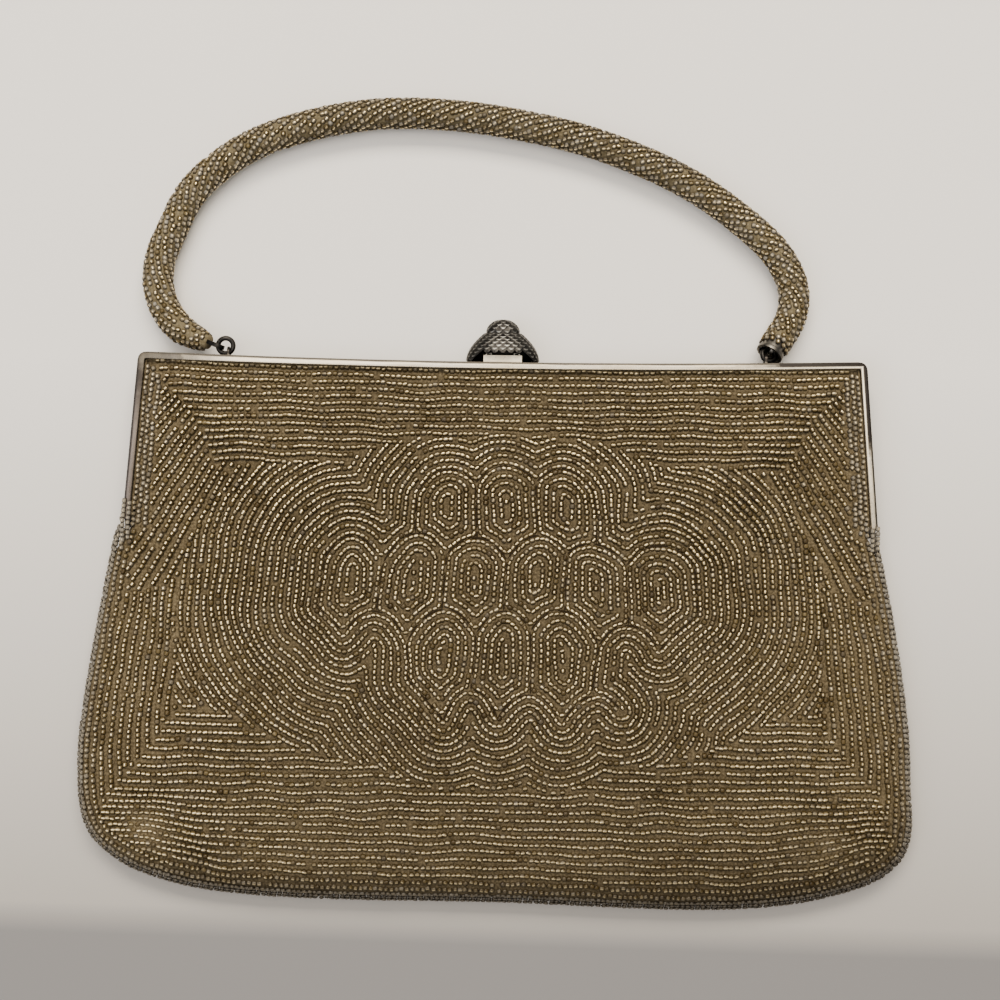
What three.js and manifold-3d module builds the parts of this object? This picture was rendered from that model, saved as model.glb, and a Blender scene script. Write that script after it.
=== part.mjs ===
// Beaded evening bag, closed and lying on its back, in millimetres.
// +X is the bag's right, +Y runs from its bottom to its handle, +Z points out of its front.
// The origin is the middle of the back panel, on the surface that the bag lies on.
import * as THREE from "three";
import { mergeVertices } from "three/addons/utils/BufferGeometryUtils.js";
import Module from "manifold-3d";

const wasm = await Module();
wasm.setup();

// Driving dimensions. Heights along Y are counted from the frame's top edge.
const FRAME_TOP_Y = 70; // the frame's top edge, above the origin
const GAP = 0.3; // clearance between neighbouring pieces

const FRAME = {
  halfWidth: 94.5, // half of the top bar, outside
  armDrop: 43.3, // how far the arms show below the top edge
  wallDrop: 40.9, // where the arms' side walls stop, above the hinge
  splay: THREE.MathUtils.degToRad(4.6), // each arm leans out by this much
  sag: 1.45, // how far the middle of the top bar hangs below its ends
  barSteps: 10, // straight stretches in the bar's curve
  cornerRadius: 2.3,
  innerCornerRadius: 0.6,
  wall: 1.0, // top wall and side walls
  lipWidth: 1.7, // the strip that shows from the front
  lipThickness: 0.9,
  depth: 8.2, // both halves together
  middleZ: 5.6, // the plane where the halves meet
};
const HALF_DEPTH = (FRAME.depth - GAP) / 2;
const FRONT_Z = FRAME.middleZ + FRAME.depth / 2;
const BACK_Z = FRAME.middleZ - FRAME.depth / 2;
const BAR_MIDDLE_Y = -FRAME.sag; // the clasp stands on the bar here

const HINGE = { drop: 43.6, lugRadius: 2.3, lugThickness: 0.8, pinRadius: 0.7, holeRadius: 1.0 };
HINGE.frontLug = { x: 97.0, top: 39.5 }; // inner face of the lug and the top of its strap
HINGE.backLug = { x: 95.8, top: 35 };

const POUCH = {
  height: 141.3, // frame's top edge to the bottom of the pouch, in the middle
  wall: 2.2, // cloth and beads together
  edgeReach: 6, // how far in the rounded edge runs
  frontShoulderZ: 8.45, // front face at the frame and inside the rounded edge
  frontRise: 5.0, // how much the middle stands above the shoulder
  riseReach: 48, // how far from the edge the rise takes
  backMouthZ: 2.85, // back face where it enters the frame
  mouthReach: 12, // how far the back face slopes down from the frame to the surface
  wallBlend: 10, // how far in the wall's sideways offset fades out
};

// The seam, from each hinge down the side, round the corner and along the bottom to the middle.
// X is counted outwards. Each stretch is a curve with a handle at either end.
const SEAM = {
  left: {
    start: [100.7, -48.8],
    stretches: [
      { leave: [103.3, -63.1], arrive: [109.2, -94.8], end: [109.2, -105.7] }, // side
      { leave: [109.2, -117.8], arrive: [108.2, -124.2], end: [102.4, -129] }, // to mid-corner
      { leave: [97.9, -132.8], arrive: [93, -135.1], end: [83.7, -137.5] }, // from mid-corner
      { leave: [65.7, -142.2], arrive: [28.9, -141], end: [0, -POUCH.height] }, // bottom
    ],
  },
  right: {
    start: [98.9, -48.8],
    stretches: [
      { leave: [103, -66.1], arrive: [107.7, -93.4], end: [107.7, -104.5] },
      { leave: [107.7, -116.4], arrive: [110.4, -125.2], end: [103.8, -131.3] },
      { leave: [99.5, -135.3], arrive: [94.3, -136.8], end: [85.8, -139.1] },
      { leave: [63.8, -144.9], arrive: [29.7, -141.7], end: [0, -POUCH.height] },
    ],
  },
};
const TO_MID_CORNER = 1; // the stretch that ends in the middle of the corner's curve

// Soft dents and swells in the front: place, reach and depth (a swell has a negative depth).
const FRONT_DENTS = [
  { x: -92, y: -124, reach: 11, depth: 1.3 },
  { x: -76, y: -130, reach: 9, depth: -0.7 },
  { x: 88, y: -126, reach: 12, depth: 0.9 },
  { x: 0, y: -22, reach: 30, depth: 0.8 },
  { x: -40, y: -118, reach: 22, depth: 0.5 },
  { x: 42, y: -112, reach: 24, depth: -0.5 },
];

const CLASP = {
  halfWidth: 9.25,
  depthRatio: 0.5, // depth over width at the base
  topDepthRatio: 0.62, // depth over width at the top
  z: 6.2, // the middle of its depth, above the surface
  waistHeight: 7.4,
  waistHalfWidth: 4.55,
  knobHalfWidth: 4.1,
  height: 11,
  wall: 0.9,
  scaleRow: 1.3, // distance between rows of scales
  scalesRound: 18, // scales in a row of the lower tier
  knobScalesRound: 9,
  scaleLift: 0.38,
  notchHeight: 2.1, // the back of the cap is cut away this high to clear the frame
  pivot: { y: 1.65, z: 2.2 }, // above the top edge of the bar's middle, above the surface
  pinRadius: 0.6,
  holeRadius: 0.9,
  barrelRadius: 1.3,
  barrelHalf: 2.9,
};
const CATCH = { width: 10, height: 1.9, z: 7.6, thickness: 0.8 };
const ARCADE = { halfWidth: 8.1, shoulder: 0.5, teeth: 5, toothWidth: 2.45, tip: 2.1, root: 2.9 };
const KNUCKLE = { x: 3.2, thickness: 1.0, radius: 1.25 };

const RING = { wire: 0.55, meanRadius: 2.05, sides: 14, wireSides: 6 };
const STAPLE = { holeRadius: 1.1, wire: 0.6, z: 7.4 };
const LEFT_RING = { x: -72.25, y: 1.9 };
const LEFT_STAPLE_ANGLE = THREE.MathUtils.degToRad(-65); // where the staple meets the left ring
const RIGHT_STAPLE_Y = 0.35;
const EYE = { holeHalf: 1.0, wire: 0.8 };
const FERRULE = { radius: 3.4, bore: 2.9, length: 3.5, floor: 0.6, rim: 3.65, rimLength: 0.8 };
FERRULE.ringDepth = 1.6; // how deep the right ring reaches into the cup

const HANDLE = { radius: 4.2, sides: 12, steps: 36, tipRadius: 1.5, tipLength: 4.6 };
// Centreline of the handle, left end to right end. It lies on the surface.
const HANDLE_ROUTE = [
  { x: -80.8, y: 4.3, z: 5.1 },
  { x: -84.7, y: 6.6, z: 4.5 },
  { x: -88.4, y: 11.0, z: 4.25 },
  { x: -90.7, y: 17.6, z: 4.25 },
  { x: -90.3, y: 24.8, z: 4.25 },
  { x: -87.3, y: 32.4, z: 4.25 },
  { x: -81.8, y: 43.0, z: 4.25 },
  { x: -69.4, y: 53.4, z: 4.25 },
  { x: -55.2, y: 59.4, z: 4.25 },
  { x: -36.0, y: 63.4, z: 4.25 },
  { x: -20.0, y: 63.9, z: 4.25 },
  { x: -1.7, y: 62.2, z: 4.25 },
  { x: 23.0, y: 56.9, z: 4.25 },
  { x: 46.6, y: 47.4, z: 4.25 },
  { x: 61.6, y: 37.6, z: 4.25 },
  { x: 71.6, y: 28.4, z: 4.25 },
  { x: 75.7, y: 20.7, z: 4.25 },
  { x: 76.2, y: 15.0, z: 4.25 },
  { x: 75.1, y: 10.6, z: 4.25 },
  { x: 73.1, y: 7.3, z: 4.6 },
  { x: 71.5, y: 4.9, z: 5.6 },
];

const paint = (color, roughness, metalness) =>
  new THREE.MeshStandardMaterial({ color, roughness, metalness });
const SILVER = paint(0xc9c2b4, 0.35, 1);
const DARK_SILVER = paint(0x4b4842, 0.5, 1);
const BEADWORK = paint(0x8a7a58, 0.45, 0.2);

// Joining and cutting: a closed three.js geometry becomes a solid, and a solid a geometry.
function solid(geometry) {
  const bare = new THREE.BufferGeometry().setAttribute("position", geometry.getAttribute("position"));
  if (geometry.index) bare.setIndex(geometry.index);
  const merged = mergeVertices(bare, 1e-4);
  return new wasm.Manifold(
    new wasm.Mesh({
      numProp: 3,
      vertProperties: new Float32Array(merged.attributes.position.array),
      triVerts: new Uint32Array(merged.index.array),
    }),
  );
}
function geometryOf(body) {
  const mesh = body.simplify(0.004).getMesh();
  return new THREE.BufferGeometry()
    .setAttribute("position", new THREE.BufferAttribute(mesh.vertProperties, 3))
    .setIndex(new THREE.BufferAttribute(mesh.triVerts, 1));
}
const joined = (first, ...others) => others.reduce((sum, part) => sum.add(part), first);
const cut = (first, ...others) => others.reduce((rest, part) => rest.subtract(part), first);

// Small solids that several pieces use.
function box(low, high) {
  const size = high.map((value, axis) => value - low[axis]);
  const middle = high.map((value, axis) => (value + low[axis]) / 2);
  return solid(new THREE.BoxGeometry(...size).translate(...middle));
}
function rodAlongX(radius, fromX, toX, y, z, sides = 16) {
  const rod = new THREE.CylinderGeometry(radius, radius, toX - fromX, sides).rotateZ(Math.PI / 2);
  return solid(rod.translate((fromX + toX) / 2, y, z));
}
function mesh(name, geometry, material) {
  const piece = new THREE.Mesh(geometry, material);
  piece.name = name;
  piece.geometry.computeVertexNormals();
  return piece;
}

// The frame: a wall that follows the U, and a lip on it that shows from the front or the back.
const sagAt = (x) => -FRAME.sag * (1 - (x / FRAME.halfWidth) ** 2);
function frameX(inset, y) {
  return FRAME.halfWidth - Math.tan(FRAME.splay) * y - inset / Math.cos(FRAME.splay);
}
function frameLine(inset, endDrop, radius) {
  const corner = { x: frameX(inset, -inset), y: -inset };
  const onArm = {
    x: corner.x + radius * Math.sin(FRAME.splay),
    y: corner.y - radius * Math.cos(FRAME.splay),
  };
  const onBar = corner.x - radius;
  const endX = frameX(inset, -endDrop);
  const path = new THREE.Path();
  path.moveTo(-endX, -endDrop);
  path.lineTo(-onArm.x, onArm.y);
  path.quadraticCurveTo(-corner.x, corner.y, -onBar, corner.y + sagAt(onBar));
  for (let step = 1; step <= FRAME.barSteps; step++) {
    const x = onBar * ((2 * step) / FRAME.barSteps - 1);
    path.lineTo(x, corner.y + sagAt(x));
  }
  path.quadraticCurveTo(corner.x, corner.y, onArm.x, onArm.y);
  path.lineTo(endX, -endDrop);
  return path.getPoints(4);
}
function frameStrip(width, endDrop, fromZ, toZ) {
  const outside = frameLine(0, endDrop, FRAME.cornerRadius);
  const inside = frameLine(width, endDrop, FRAME.innerCornerRadius);
  const shape = new THREE.Shape(outside.concat(inside.reverse()));
  const strip = new THREE.ExtrudeGeometry(shape, { depth: toZ - fromZ, bevelEnabled: false });
  return solid(strip.translate(0, 0, fromZ));
}
// A round lug on each arm for the hinge pin, with a strap that joins it to the arm's wall.
function hingeLugs(lug, strapLow, strapHigh) {
  const lugs = [];
  for (const side of [-1, 1]) {
    const faces = [side * lug.x, side * (lug.x + HINGE.lugThickness)].sort((a, b) => a - b);
    const disc = rodAlongX(HINGE.lugRadius, ...faces, -HINGE.drop, FRAME.middleZ, 20);
    const strap = box([faces[0], -HINGE.drop, strapLow], [faces[1], -lug.top, strapHigh]);
    const hole = rodAlongX(HINGE.holeRadius, faces[0] - 1, faces[1] + 1, -HINGE.drop, FRAME.middleZ);
    lugs.push(cut(joined(disc, strap), hole));
  }
  return lugs;
}
// A bridge of wire on the top wall. The ring passes under it along X.
function staple(x, y) {
  const reach = STAPLE.holeRadius + STAPLE.wire;
  const legs = sagAt(x) - FRAME.wall / 2 - y;
  const arch = new THREE.Shape();
  arch.moveTo(-reach, legs);
  arch.lineTo(-reach, 0);
  arch.absarc(0, 0, reach, Math.PI, 0, true);
  arch.lineTo(reach, legs);
  arch.lineTo(STAPLE.holeRadius, legs);
  arch.lineTo(STAPLE.holeRadius, 0);
  arch.absarc(0, 0, STAPLE.holeRadius, 0, Math.PI, false);
  arch.lineTo(-STAPLE.holeRadius, legs);
  arch.closePath();
  const bent = new THREE.ExtrudeGeometry(arch, {
    depth: STAPLE.wire,
    curveSegments: 6,
    bevelEnabled: false,
  });
  return solid(bent.translate(0, 0, -STAPLE.wire / 2).rotateY(Math.PI / 2).translate(x, y, STAPLE.z));
}

// The handle's fittings depend on where the handle ends.
const route = new THREE.CatmullRomCurve3(
  HANDLE_ROUTE.map((point) => new THREE.Vector3(point.x, point.y, point.z)),
);
const ferruleWay = route.getTangentAt(1);
const ferruleFoot = route.getPointAt(1).addScaledVector(ferruleWay, GAP);
const ferruleMouth = ferruleFoot.clone().addScaledVector(ferruleWay, FERRULE.length);
const leftRingSide = new THREE.Vector3(LEFT_RING.x - RING.meanRadius, LEFT_RING.y, STAPLE.z);
const tipWay = leftRingSide.clone().sub(route.getPointAt(0)).normalize();
const tipEnd = route.getPointAt(0).addScaledVector(tipWay, HANDLE.tipLength);

const leftStaple = {
  x: LEFT_RING.x + RING.meanRadius * Math.cos(LEFT_STAPLE_ANGLE),
  y: LEFT_RING.y + RING.meanRadius * Math.sin(LEFT_STAPLE_ANGLE),
};
const stapleStep = (ferruleMouth.y - RIGHT_STAPLE_Y) / -ferruleWay.y;
const rightStaple = { x: ferruleMouth.x + stapleStep * ferruleWay.x, y: RIGHT_STAPLE_Y };

function frontFrame() {
  const low = FRAME.middleZ + GAP / 2;
  const wall = frameStrip(FRAME.wall, FRAME.wallDrop, low, FRONT_Z);
  const lip = frameStrip(FRAME.lipWidth, FRAME.armDrop, FRONT_Z - FRAME.lipThickness, FRONT_Z);
  const lugs = hingeLugs(HINGE.frontLug, low, FRAME.middleZ + HINGE.lugRadius - 0.2);
  const catchPlate = box(
    [-CATCH.width / 2, BAR_MIDDLE_Y - FRAME.wall / 2, CATCH.z],
    [CATCH.width / 2, BAR_MIDDLE_Y + CATCH.height, CATCH.z + CATCH.thickness],
  );
  const slotHalf = RING.meanRadius + RING.wire;
  const barY = sagAt(LEFT_RING.x);
  const slot = box(
    [LEFT_RING.x - slotHalf, barY - FRAME.wall - GAP, STAPLE.z - RING.wire - GAP],
    [LEFT_RING.x + slotHalf, barY + GAP, STAPLE.z + RING.wire + GAP],
  );
  const bar = cut(joined(wall, lip), slot);
  const left = staple(leftStaple.x, leftStaple.y);
  const right = staple(rightStaple.x, rightStaple.y);
  return geometryOf(joined(bar, ...lugs, catchPlate, left, right));
}

function backFrame() {
  const high = FRAME.middleZ - GAP / 2;
  const wall = frameStrip(FRAME.wall, FRAME.wallDrop, BACK_Z, high);
  const lip = frameStrip(FRAME.lipWidth, FRAME.armDrop, BACK_Z, BACK_Z + FRAME.lipThickness);
  const lugs = hingeLugs(HINGE.backLug, FRAME.middleZ - HINGE.lugRadius + 0.2, high);
  const knuckles = [-1, 1].map((side) => {
    const faces = [side * KNUCKLE.x, side * (KNUCKLE.x + KNUCKLE.thickness)].sort((a, b) => a - b);
    const y = BAR_MIDDLE_Y + CLASP.pivot.y;
    const z = CLASP.pivot.z;
    const eye = rodAlongX(KNUCKLE.radius, ...faces, y, z);
    const foot = box(
      [faces[0], BAR_MIDDLE_Y - FRAME.wall / 2, z - KNUCKLE.radius / 2],
      [faces[1], y, z + KNUCKLE.radius],
    );
    return cut(joined(eye, foot), rodAlongX(CLASP.holeRadius, faces[0] - 1, faces[1] + 1, y, z));
  });
  return geometryOf(joined(wall, lip, ...lugs, ...knuckles));
}

function hingePin(side) {
  const inner = HINGE.backLug.x - 0.1;
  const outer = HINGE.frontLug.x + HINGE.lugThickness + 0.1;
  const ends = [side * inner, side * outer].sort((a, b) => a - b);
  return geometryOf(rodAlongX(HINGE.pinRadius, ...ends, -HINGE.drop, FRAME.middleZ, 12));
}

// The clasp cap: two domes, one on the other, covered with rows of overlapping scales.
const LOWER_DOME_HEIGHT =
  CLASP.waistHeight / Math.sqrt(1 - (CLASP.waistHalfWidth / CLASP.halfWidth) ** 2);
const KNOB_HEIGHT = CLASP.height - CLASP.waistHeight;
const domeRadius = (radius, height, y) => radius * Math.sqrt(Math.max(0, 1 - (y / height) ** 2));

// Points up the side of the cap, each with the row of scales it belongs to.
function capOutline() {
  const outline = [];
  const addTier = (radius, height, fromY, toY, scales, firstRow) => {
    const fine = [];
    for (let i = 0; i <= 60; i++) {
      const y = ((toY - fromY) * i) / 60;
      fine.push(new THREE.Vector2(domeRadius(radius, height, y), fromY + y));
    }
    let length = 0;
    const reached = fine.map((point, i) => (length += i ? point.distanceTo(fine[i - 1]) : 0));
    const rows = Math.round(length / CLASP.scaleRow);
    for (let row = 0; row < rows; row++)
      for (const part of [0.06, 0.94]) {
        const i = reached.findIndex((at) => at >= (length * (row + part)) / rows);
        const point = { x: fine[i].x, y: fine[i].y, row: firstRow + row + part, scales };
        if (point.x > 0.4) outline.push(point);
      }
    return firstRow + rows;
  };
  const knobRow = addTier(
    CLASP.halfWidth,
    LOWER_DOME_HEIGHT,
    0,
    CLASP.waistHeight,
    CLASP.scalesRound,
    0,
  );
  addTier(
    CLASP.knobHalfWidth,
    KNOB_HEIGHT,
    CLASP.waistHeight,
    CLASP.height,
    CLASP.knobScalesRound,
    knobRow,
  );
  return outline;
}
// Each scale is thickest at its rounded lower tip and thins upwards, under the row above it.
function scaleHeight(angle, row, scales) {
  for (const k of [Math.floor(row), Math.floor(row) - 1]) {
    const turn = (angle / (2 * Math.PI)) * scales + (k % 2 ? 0.5 : 0);
    const across = turn - Math.floor(turn) - 0.5;
    const above = row - k - 0.8 * (2 * across) ** 2;
    if (above >= 0) return CLASP.scaleLift * (1 - above / 2);
  }
  return 0;
}
function claspCap() {
  const outline = capOutline();
  const ends = { foot: { x: 0, y: 0 }, top: { x: 0, y: CLASP.height } };
  const profile = [ends.foot, { ...outline[0], y: 0 }, ...outline.slice(1), ends.top];
  const sides = CLASP.scalesRound * 3;
  const skin = new THREE.LatheGeometry(
    profile.map((point) => new THREE.Vector2(point.x, point.y)),
    sides,
  );
  const place = skin.getAttribute("position");
  for (let i = 0; i < place.count; i++) {
    const point = profile[i % profile.length];
    const angle = (Math.floor(i / profile.length) / sides) * 2 * Math.PI;
    const lift = point.scales && point.y > 0 ? scaleHeight(angle, point.row, point.scales) : 0;
    const ratio = THREE.MathUtils.lerp(
      CLASP.depthRatio,
      CLASP.topDepthRatio,
      point.y / CLASP.height,
    );
    const grow = point.x > 0 ? 1 + lift / Math.max(point.x, 1.5) : 1;
    place.setXYZ(i, place.getX(i) * grow, place.getY(i) + lift / 3, place.getZ(i) * grow * ratio);
  }
  const inside = new THREE.Path();
  inside.moveTo(0, -1);
  inside.lineTo(CLASP.halfWidth - CLASP.wall, -1);
  inside.lineTo(CLASP.halfWidth - CLASP.wall, 0);
  const roof = CLASP.waistHeight - CLASP.wall;
  for (const part of [0.25, 0.5, 0.75, 1]) {
    const radius = domeRadius(CLASP.halfWidth, LOWER_DOME_HEIGHT, roof * part) - CLASP.wall;
    inside.lineTo(radius, roof * part);
  }
  inside.lineTo(0, roof);
  const roomRatio =
    (CLASP.halfWidth * CLASP.depthRatio - CLASP.wall) / (CLASP.halfWidth - CLASP.wall);
  const hollow = new THREE.LatheGeometry(inside.getPoints(), 28).scale(1, 1, roomRatio);

  const pivot = { y: CLASP.pivot.y - GAP, z: CLASP.pivot.z - CLASP.z };
  const notch = box([-20, -1, -20], [20, CLASP.notchHeight, pivot.z + KNUCKLE.radius + GAP]);
  const barrel = rodAlongX(CLASP.barrelRadius, -CLASP.barrelHalf, CLASP.barrelHalf, pivot.y, pivot.z);
  const web = box(
    [-CLASP.barrelHalf, pivot.y, pivot.z - CLASP.barrelRadius],
    [CLASP.barrelHalf, pivot.y + 2.1, pivot.z],
  );
  const bore = rodAlongX(CLASP.holeRadius, -CLASP.barrelHalf - 1, CLASP.barrelHalf + 1, pivot.y, pivot.z);
  const reach = KNUCKLE.x + KNUCKLE.thickness + GAP;
  const knuckleRoom = rodAlongX(KNUCKLE.radius + GAP, -reach, reach, pivot.y, pivot.z, 20);
  const shell = cut(solid(skin), solid(hollow), notch, knuckleRoom, frontArcade());
  return geometryOf(cut(joined(shell, barrel, web), bore));
}
// The opening over the catch plate. Its upper edge follows the tips of a row of scales.
function frontArcade() {
  const opening = new THREE.Shape();
  opening.moveTo(-ARCADE.halfWidth, -1);
  opening.lineTo(-ARCADE.halfWidth, ARCADE.shoulder);
  for (let tooth = 0; tooth < ARCADE.teeth; tooth++)
    for (const part of [0, 0.25, 0.5, 0.75]) {
      const x = (tooth + part - ARCADE.teeth / 2) * ARCADE.toothWidth;
      const hang = 4 * part * (1 - part);
      opening.lineTo(x, THREE.MathUtils.lerp(ARCADE.root, ARCADE.tip, hang));
    }
  opening.lineTo((ARCADE.teeth / 2) * ARCADE.toothWidth, ARCADE.root);
  opening.lineTo(ARCADE.halfWidth, ARCADE.shoulder);
  opening.lineTo(ARCADE.halfWidth, -1);
  opening.closePath();
  return solid(new THREE.ExtrudeGeometry(opening, { depth: 12, bevelEnabled: false }));
}
function claspPin() {
  const end = KNUCKLE.x + KNUCKLE.thickness + 0.2;
  const y = BAR_MIDDLE_Y + CLASP.pivot.y;
  return geometryOf(rodAlongX(CLASP.pinRadius, -end, end, y, CLASP.pivot.z, 12));
}

// The pouch. Its outline is a seam below the hinges and a mouth inside the frame.
function seamHalf({ start, stretches }) {
  const path = new THREE.CurvePath();
  let from = new THREE.Vector2(...start);
  for (const { leave, arrive, end } of stretches) {
    const to = new THREE.Vector2(...end);
    path.add(
      new THREE.CubicBezierCurve(from, new THREE.Vector2(...leave), new THREE.Vector2(...arrive), to),
    );
    from = to;
  }
  const lengths = path.getCurveLengths();
  return { path, length: path.getLength(), toMidCorner: lengths[TO_MID_CORNER] };
}
const mirrored = (points) => points.map((point) => new THREE.Vector2(-point.x, point.y));
const leftSeam = seamHalf(SEAM.left);
const rightSeam = seamHalf(SEAM.right);
const seamLine = mirrored(leftSeam.path.getSpacedPoints(90)).concat(
  rightSeam.path.getSpacedPoints(90).reverse(),
);

const mouthInset = FRAME.wall + GAP;
const mouthCorner = new THREE.Vector2(frameX(mouthInset, -mouthInset), -mouthInset);
const hingeInside = HINGE.backLug.x - GAP - 0.1;
const besideHinge = [
  new THREE.Vector2(hingeInside, -HINGE.backLug.top),
  new THREE.Vector2(hingeInside, -HINGE.drop - HINGE.lugRadius - GAP),
];
const underBar = Array.from({ length: FRAME.barSteps + 1 }, (_, step) => {
  const x = mouthCorner.x * ((2 * step) / FRAME.barSteps - 1);
  return new THREE.Vector2(x, mouthCorner.y + sagAt(x));
});
const mouthLine = [...mirrored(besideHinge).reverse(), ...underBar, ...besideHinge];

// Distance from a point to a line of points, and the nearest place on it.
function nearest(point, line) {
  let best = { distance: Infinity };
  for (let i = 1; i < line.length; i++) {
    const along = new THREE.Vector2().subVectors(line[i], line[i - 1]);
    const from = new THREE.Vector2().subVectors(point, line[i - 1]);
    const part = THREE.MathUtils.clamp(from.dot(along) / along.lengthSq(), 0, 1);
    const place = line[i - 1].clone().addScaledVector(along, part);
    const distance = place.distanceTo(point);
    if (distance < best.distance) best = { distance, place, along };
  }
  return best;
}

// The grid of a panel: rows run across the bag, columns run down it.
const STEPS_IN = [0, 0.6, 1.8, 3.6, 6, 10, 18, 30, 46, 64, 80]; // from a side edge to the middle
const STEPS_UP = [0, 0.6, 1.8, 3.6, 6, 10, 17, 27, 39, 52, 64, 72]; // up the side from the corner
function panelGrid() {
  const armRows = [0.1, 0.35, 0.7].map((part) => mouthCorner.clone().lerp(besideHinge[0], part));
  const sideOf = (seam) => {
    const up = STEPS_UP.map((step) => seam.path.getPointAt((seam.toMidCorner - step) / seam.length));
    return [mouthCorner, ...armRows, ...besideHinge, seam.path.getPointAt(0), ...up.reverse()];
  };
  const right = sideOf(rightSeam);
  const left = mirrored(sideOf(leftSeam));

  const halfTop = STEPS_IN.map((step) => {
    const x = mouthCorner.x - step;
    return new THREE.Vector2(x, mouthCorner.y + sagAt(x));
  });
  const halfBottom = (seam) =>
    STEPS_IN.map((step) => {
      const share = step / mouthCorner.x;
      const reached = THREE.MathUtils.lerp(seam.toMidCorner, seam.length, share);
      return seam.path.getPointAt(reached / seam.length);
    });
  const across = (leftHalf, middle, rightHalf) => [
    ...mirrored(leftHalf),
    middle,
    ...[...rightHalf].reverse(),
  ];
  const top = across(halfTop, new THREE.Vector2(0, mouthCorner.y + BAR_MIDDLE_Y), halfTop);
  const middleFoot = new THREE.Vector2(0, -POUCH.height);
  const bottom = across(halfBottom(leftSeam), middleFoot, halfBottom(rightSeam));

  const share = (points) => {
    let length = 0;
    const reached = points.map((point, i) => (length += i ? point.distanceTo(points[i - 1]) : 0));
    return reached.map((at) => at / length);
  };
  const u = share(top);
  const v = share(right);
  return right.map((rightEnd, row) =>
    top.map((topEnd, column) => {
      const a = u[column];
      const b = v[row];
      const last = top.length - 1;
      const place = new THREE.Vector2();
      place.addScaledVector(topEnd, 1 - b).addScaledVector(bottom[column], b);
      place.addScaledVector(left[row], 1 - a).addScaledVector(rightEnd, a);
      place.addScaledVector(top[0], -(1 - a) * (1 - b)).addScaledVector(top[last], -a * (1 - b));
      place.addScaledVector(bottom[0], -(1 - a) * b).addScaledVector(bottom[last], -a * b);
      return place;
    }),
  );
}

// A quarter round: 0 at the edge, 1 where the rounded edge ends.
const quarter = (distance, reach) =>
  Math.sqrt(1 - (1 - THREE.MathUtils.clamp(distance / reach, 0, 1)) ** 2);
const swell = (distance, reach) => 1 - (1 - THREE.MathUtils.clamp(distance / reach, 0, 1)) ** 2;

function frontZ(point, seam, mouth, depth) {
  const edge = quarter(seam.distance - depth, POUCH.edgeReach - depth);
  const seamZ = FRAME.middleZ + GAP / 2;
  const shoulder = seamZ + (POUCH.frontShoulderZ - seamZ - depth) * edge;
  const inside = Math.min(seam.distance, mouth.distance);
  const dents = FRONT_DENTS.reduce((sum, dent) => {
    const away = Math.hypot(point.x - dent.x, point.y - dent.y) / dent.reach;
    return sum + dent.depth * Math.exp(-away * away);
  }, 0);
  const settled = swell(inside, POUCH.mouthReach);
  return shoulder + POUCH.frontRise * swell(inside, POUCH.riseReach) - dents * settled;
}
function backZ(point, seam, mouth, depth) {
  const edge = quarter(seam.distance - depth, POUCH.edgeReach - depth);
  const seamZ = FRAME.middleZ - GAP / 2;
  const lift = POUCH.backMouthZ * (1 - swell(mouth.distance, POUCH.mouthReach));
  return seamZ - (seamZ - depth) * edge + lift * edge;
}

// A panel is a wall of even thickness between an outer and an inner grid, closed along its rim.
function panel(height, outward) {
  const outer = [];
  const inner = [];
  const grid = panelGrid();
  for (const row of grid)
    for (const point of row) {
      const seam = nearest(point, seamLine);
      outer.push([point.x, point.y, height(point, seam, nearest(point, mouthLine), 0)]);
      const shift = POUCH.wall * Math.max(0, 1 - seam.distance / POUCH.wallBlend);
      const inward =
        seam.distance > 0.05
          ? new THREE.Vector2().subVectors(point, seam.place).normalize()
          : new THREE.Vector2(seam.along.y, -seam.along.x).normalize().negate();
      const moved = point.clone().addScaledVector(inward, shift);
      const z = height(moved, nearest(moved, seamLine), nearest(moved, mouthLine), POUCH.wall);
      inner.push([moved.x, moved.y, z]);
    }
  const rows = grid.length;
  const columns = grid[0].length;
  const half = outer.length;
  const faces = [];
  const quad = (a, b, c, d) => faces.push(...(outward ? [a, b, c, a, c, d] : [a, c, b, a, d, c]));
  for (let row = 1; row < rows; row++)
    for (let column = 1; column < columns; column++) {
      const d = row * columns + column;
      const corners = [d - columns - 1, d - 1, d, d - columns];
      quad(...corners);
      quad(...corners.map((corner) => corner + half).reverse());
    }
  const rim = [];
  for (let column = 0; column < columns - 1; column++) rim.push(column);
  for (let row = 0; row < rows - 1; row++) rim.push(row * columns + columns - 1);
  for (let column = columns - 1; column > 0; column--) rim.push((rows - 1) * columns + column);
  for (let row = rows - 1; row > 0; row--) rim.push(row * columns);
  rim.forEach((from, i) => {
    const to = rim[(i + 1) % rim.length];
    quad(from, to, to + half, from + half);
  });
  const geometry = new THREE.BufferGeometry();
  geometry.setAttribute("position", new THREE.Float32BufferAttribute(outer.concat(inner).flat(), 3));
  geometry.setIndex(faces);
  return geometryOf(solid(geometry));
}

// The handle and its fittings.
function beadedHandle() {
  const section = new THREE.Shape(
    Array.from({ length: HANDLE.sides }, (_, i) => {
      const angle = (i / HANDLE.sides) * 2 * Math.PI;
      return new THREE.Vector2(Math.cos(angle), Math.sin(angle)).multiplyScalar(HANDLE.radius);
    }),
  );
  const rope = new THREE.ExtrudeGeometry(section, { steps: HANDLE.steps, extrudePath: route });
  const tip = new THREE.CylinderGeometry(
    HANDLE.tipRadius,
    HANDLE.radius - 0.05,
    HANDLE.tipLength + 0.4,
    HANDLE.sides,
  );
  tip.translate(0, HANDLE.tipLength / 2 - 0.2, 0);
  tip.applyQuaternion(new THREE.Quaternion().setFromUnitVectors(new THREE.Vector3(0, 1, 0), tipWay));
  tip.translate(...route.getPointAt(0).toArray());
  return geometryOf(joined(solid(rope), solid(tip)));
}
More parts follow.
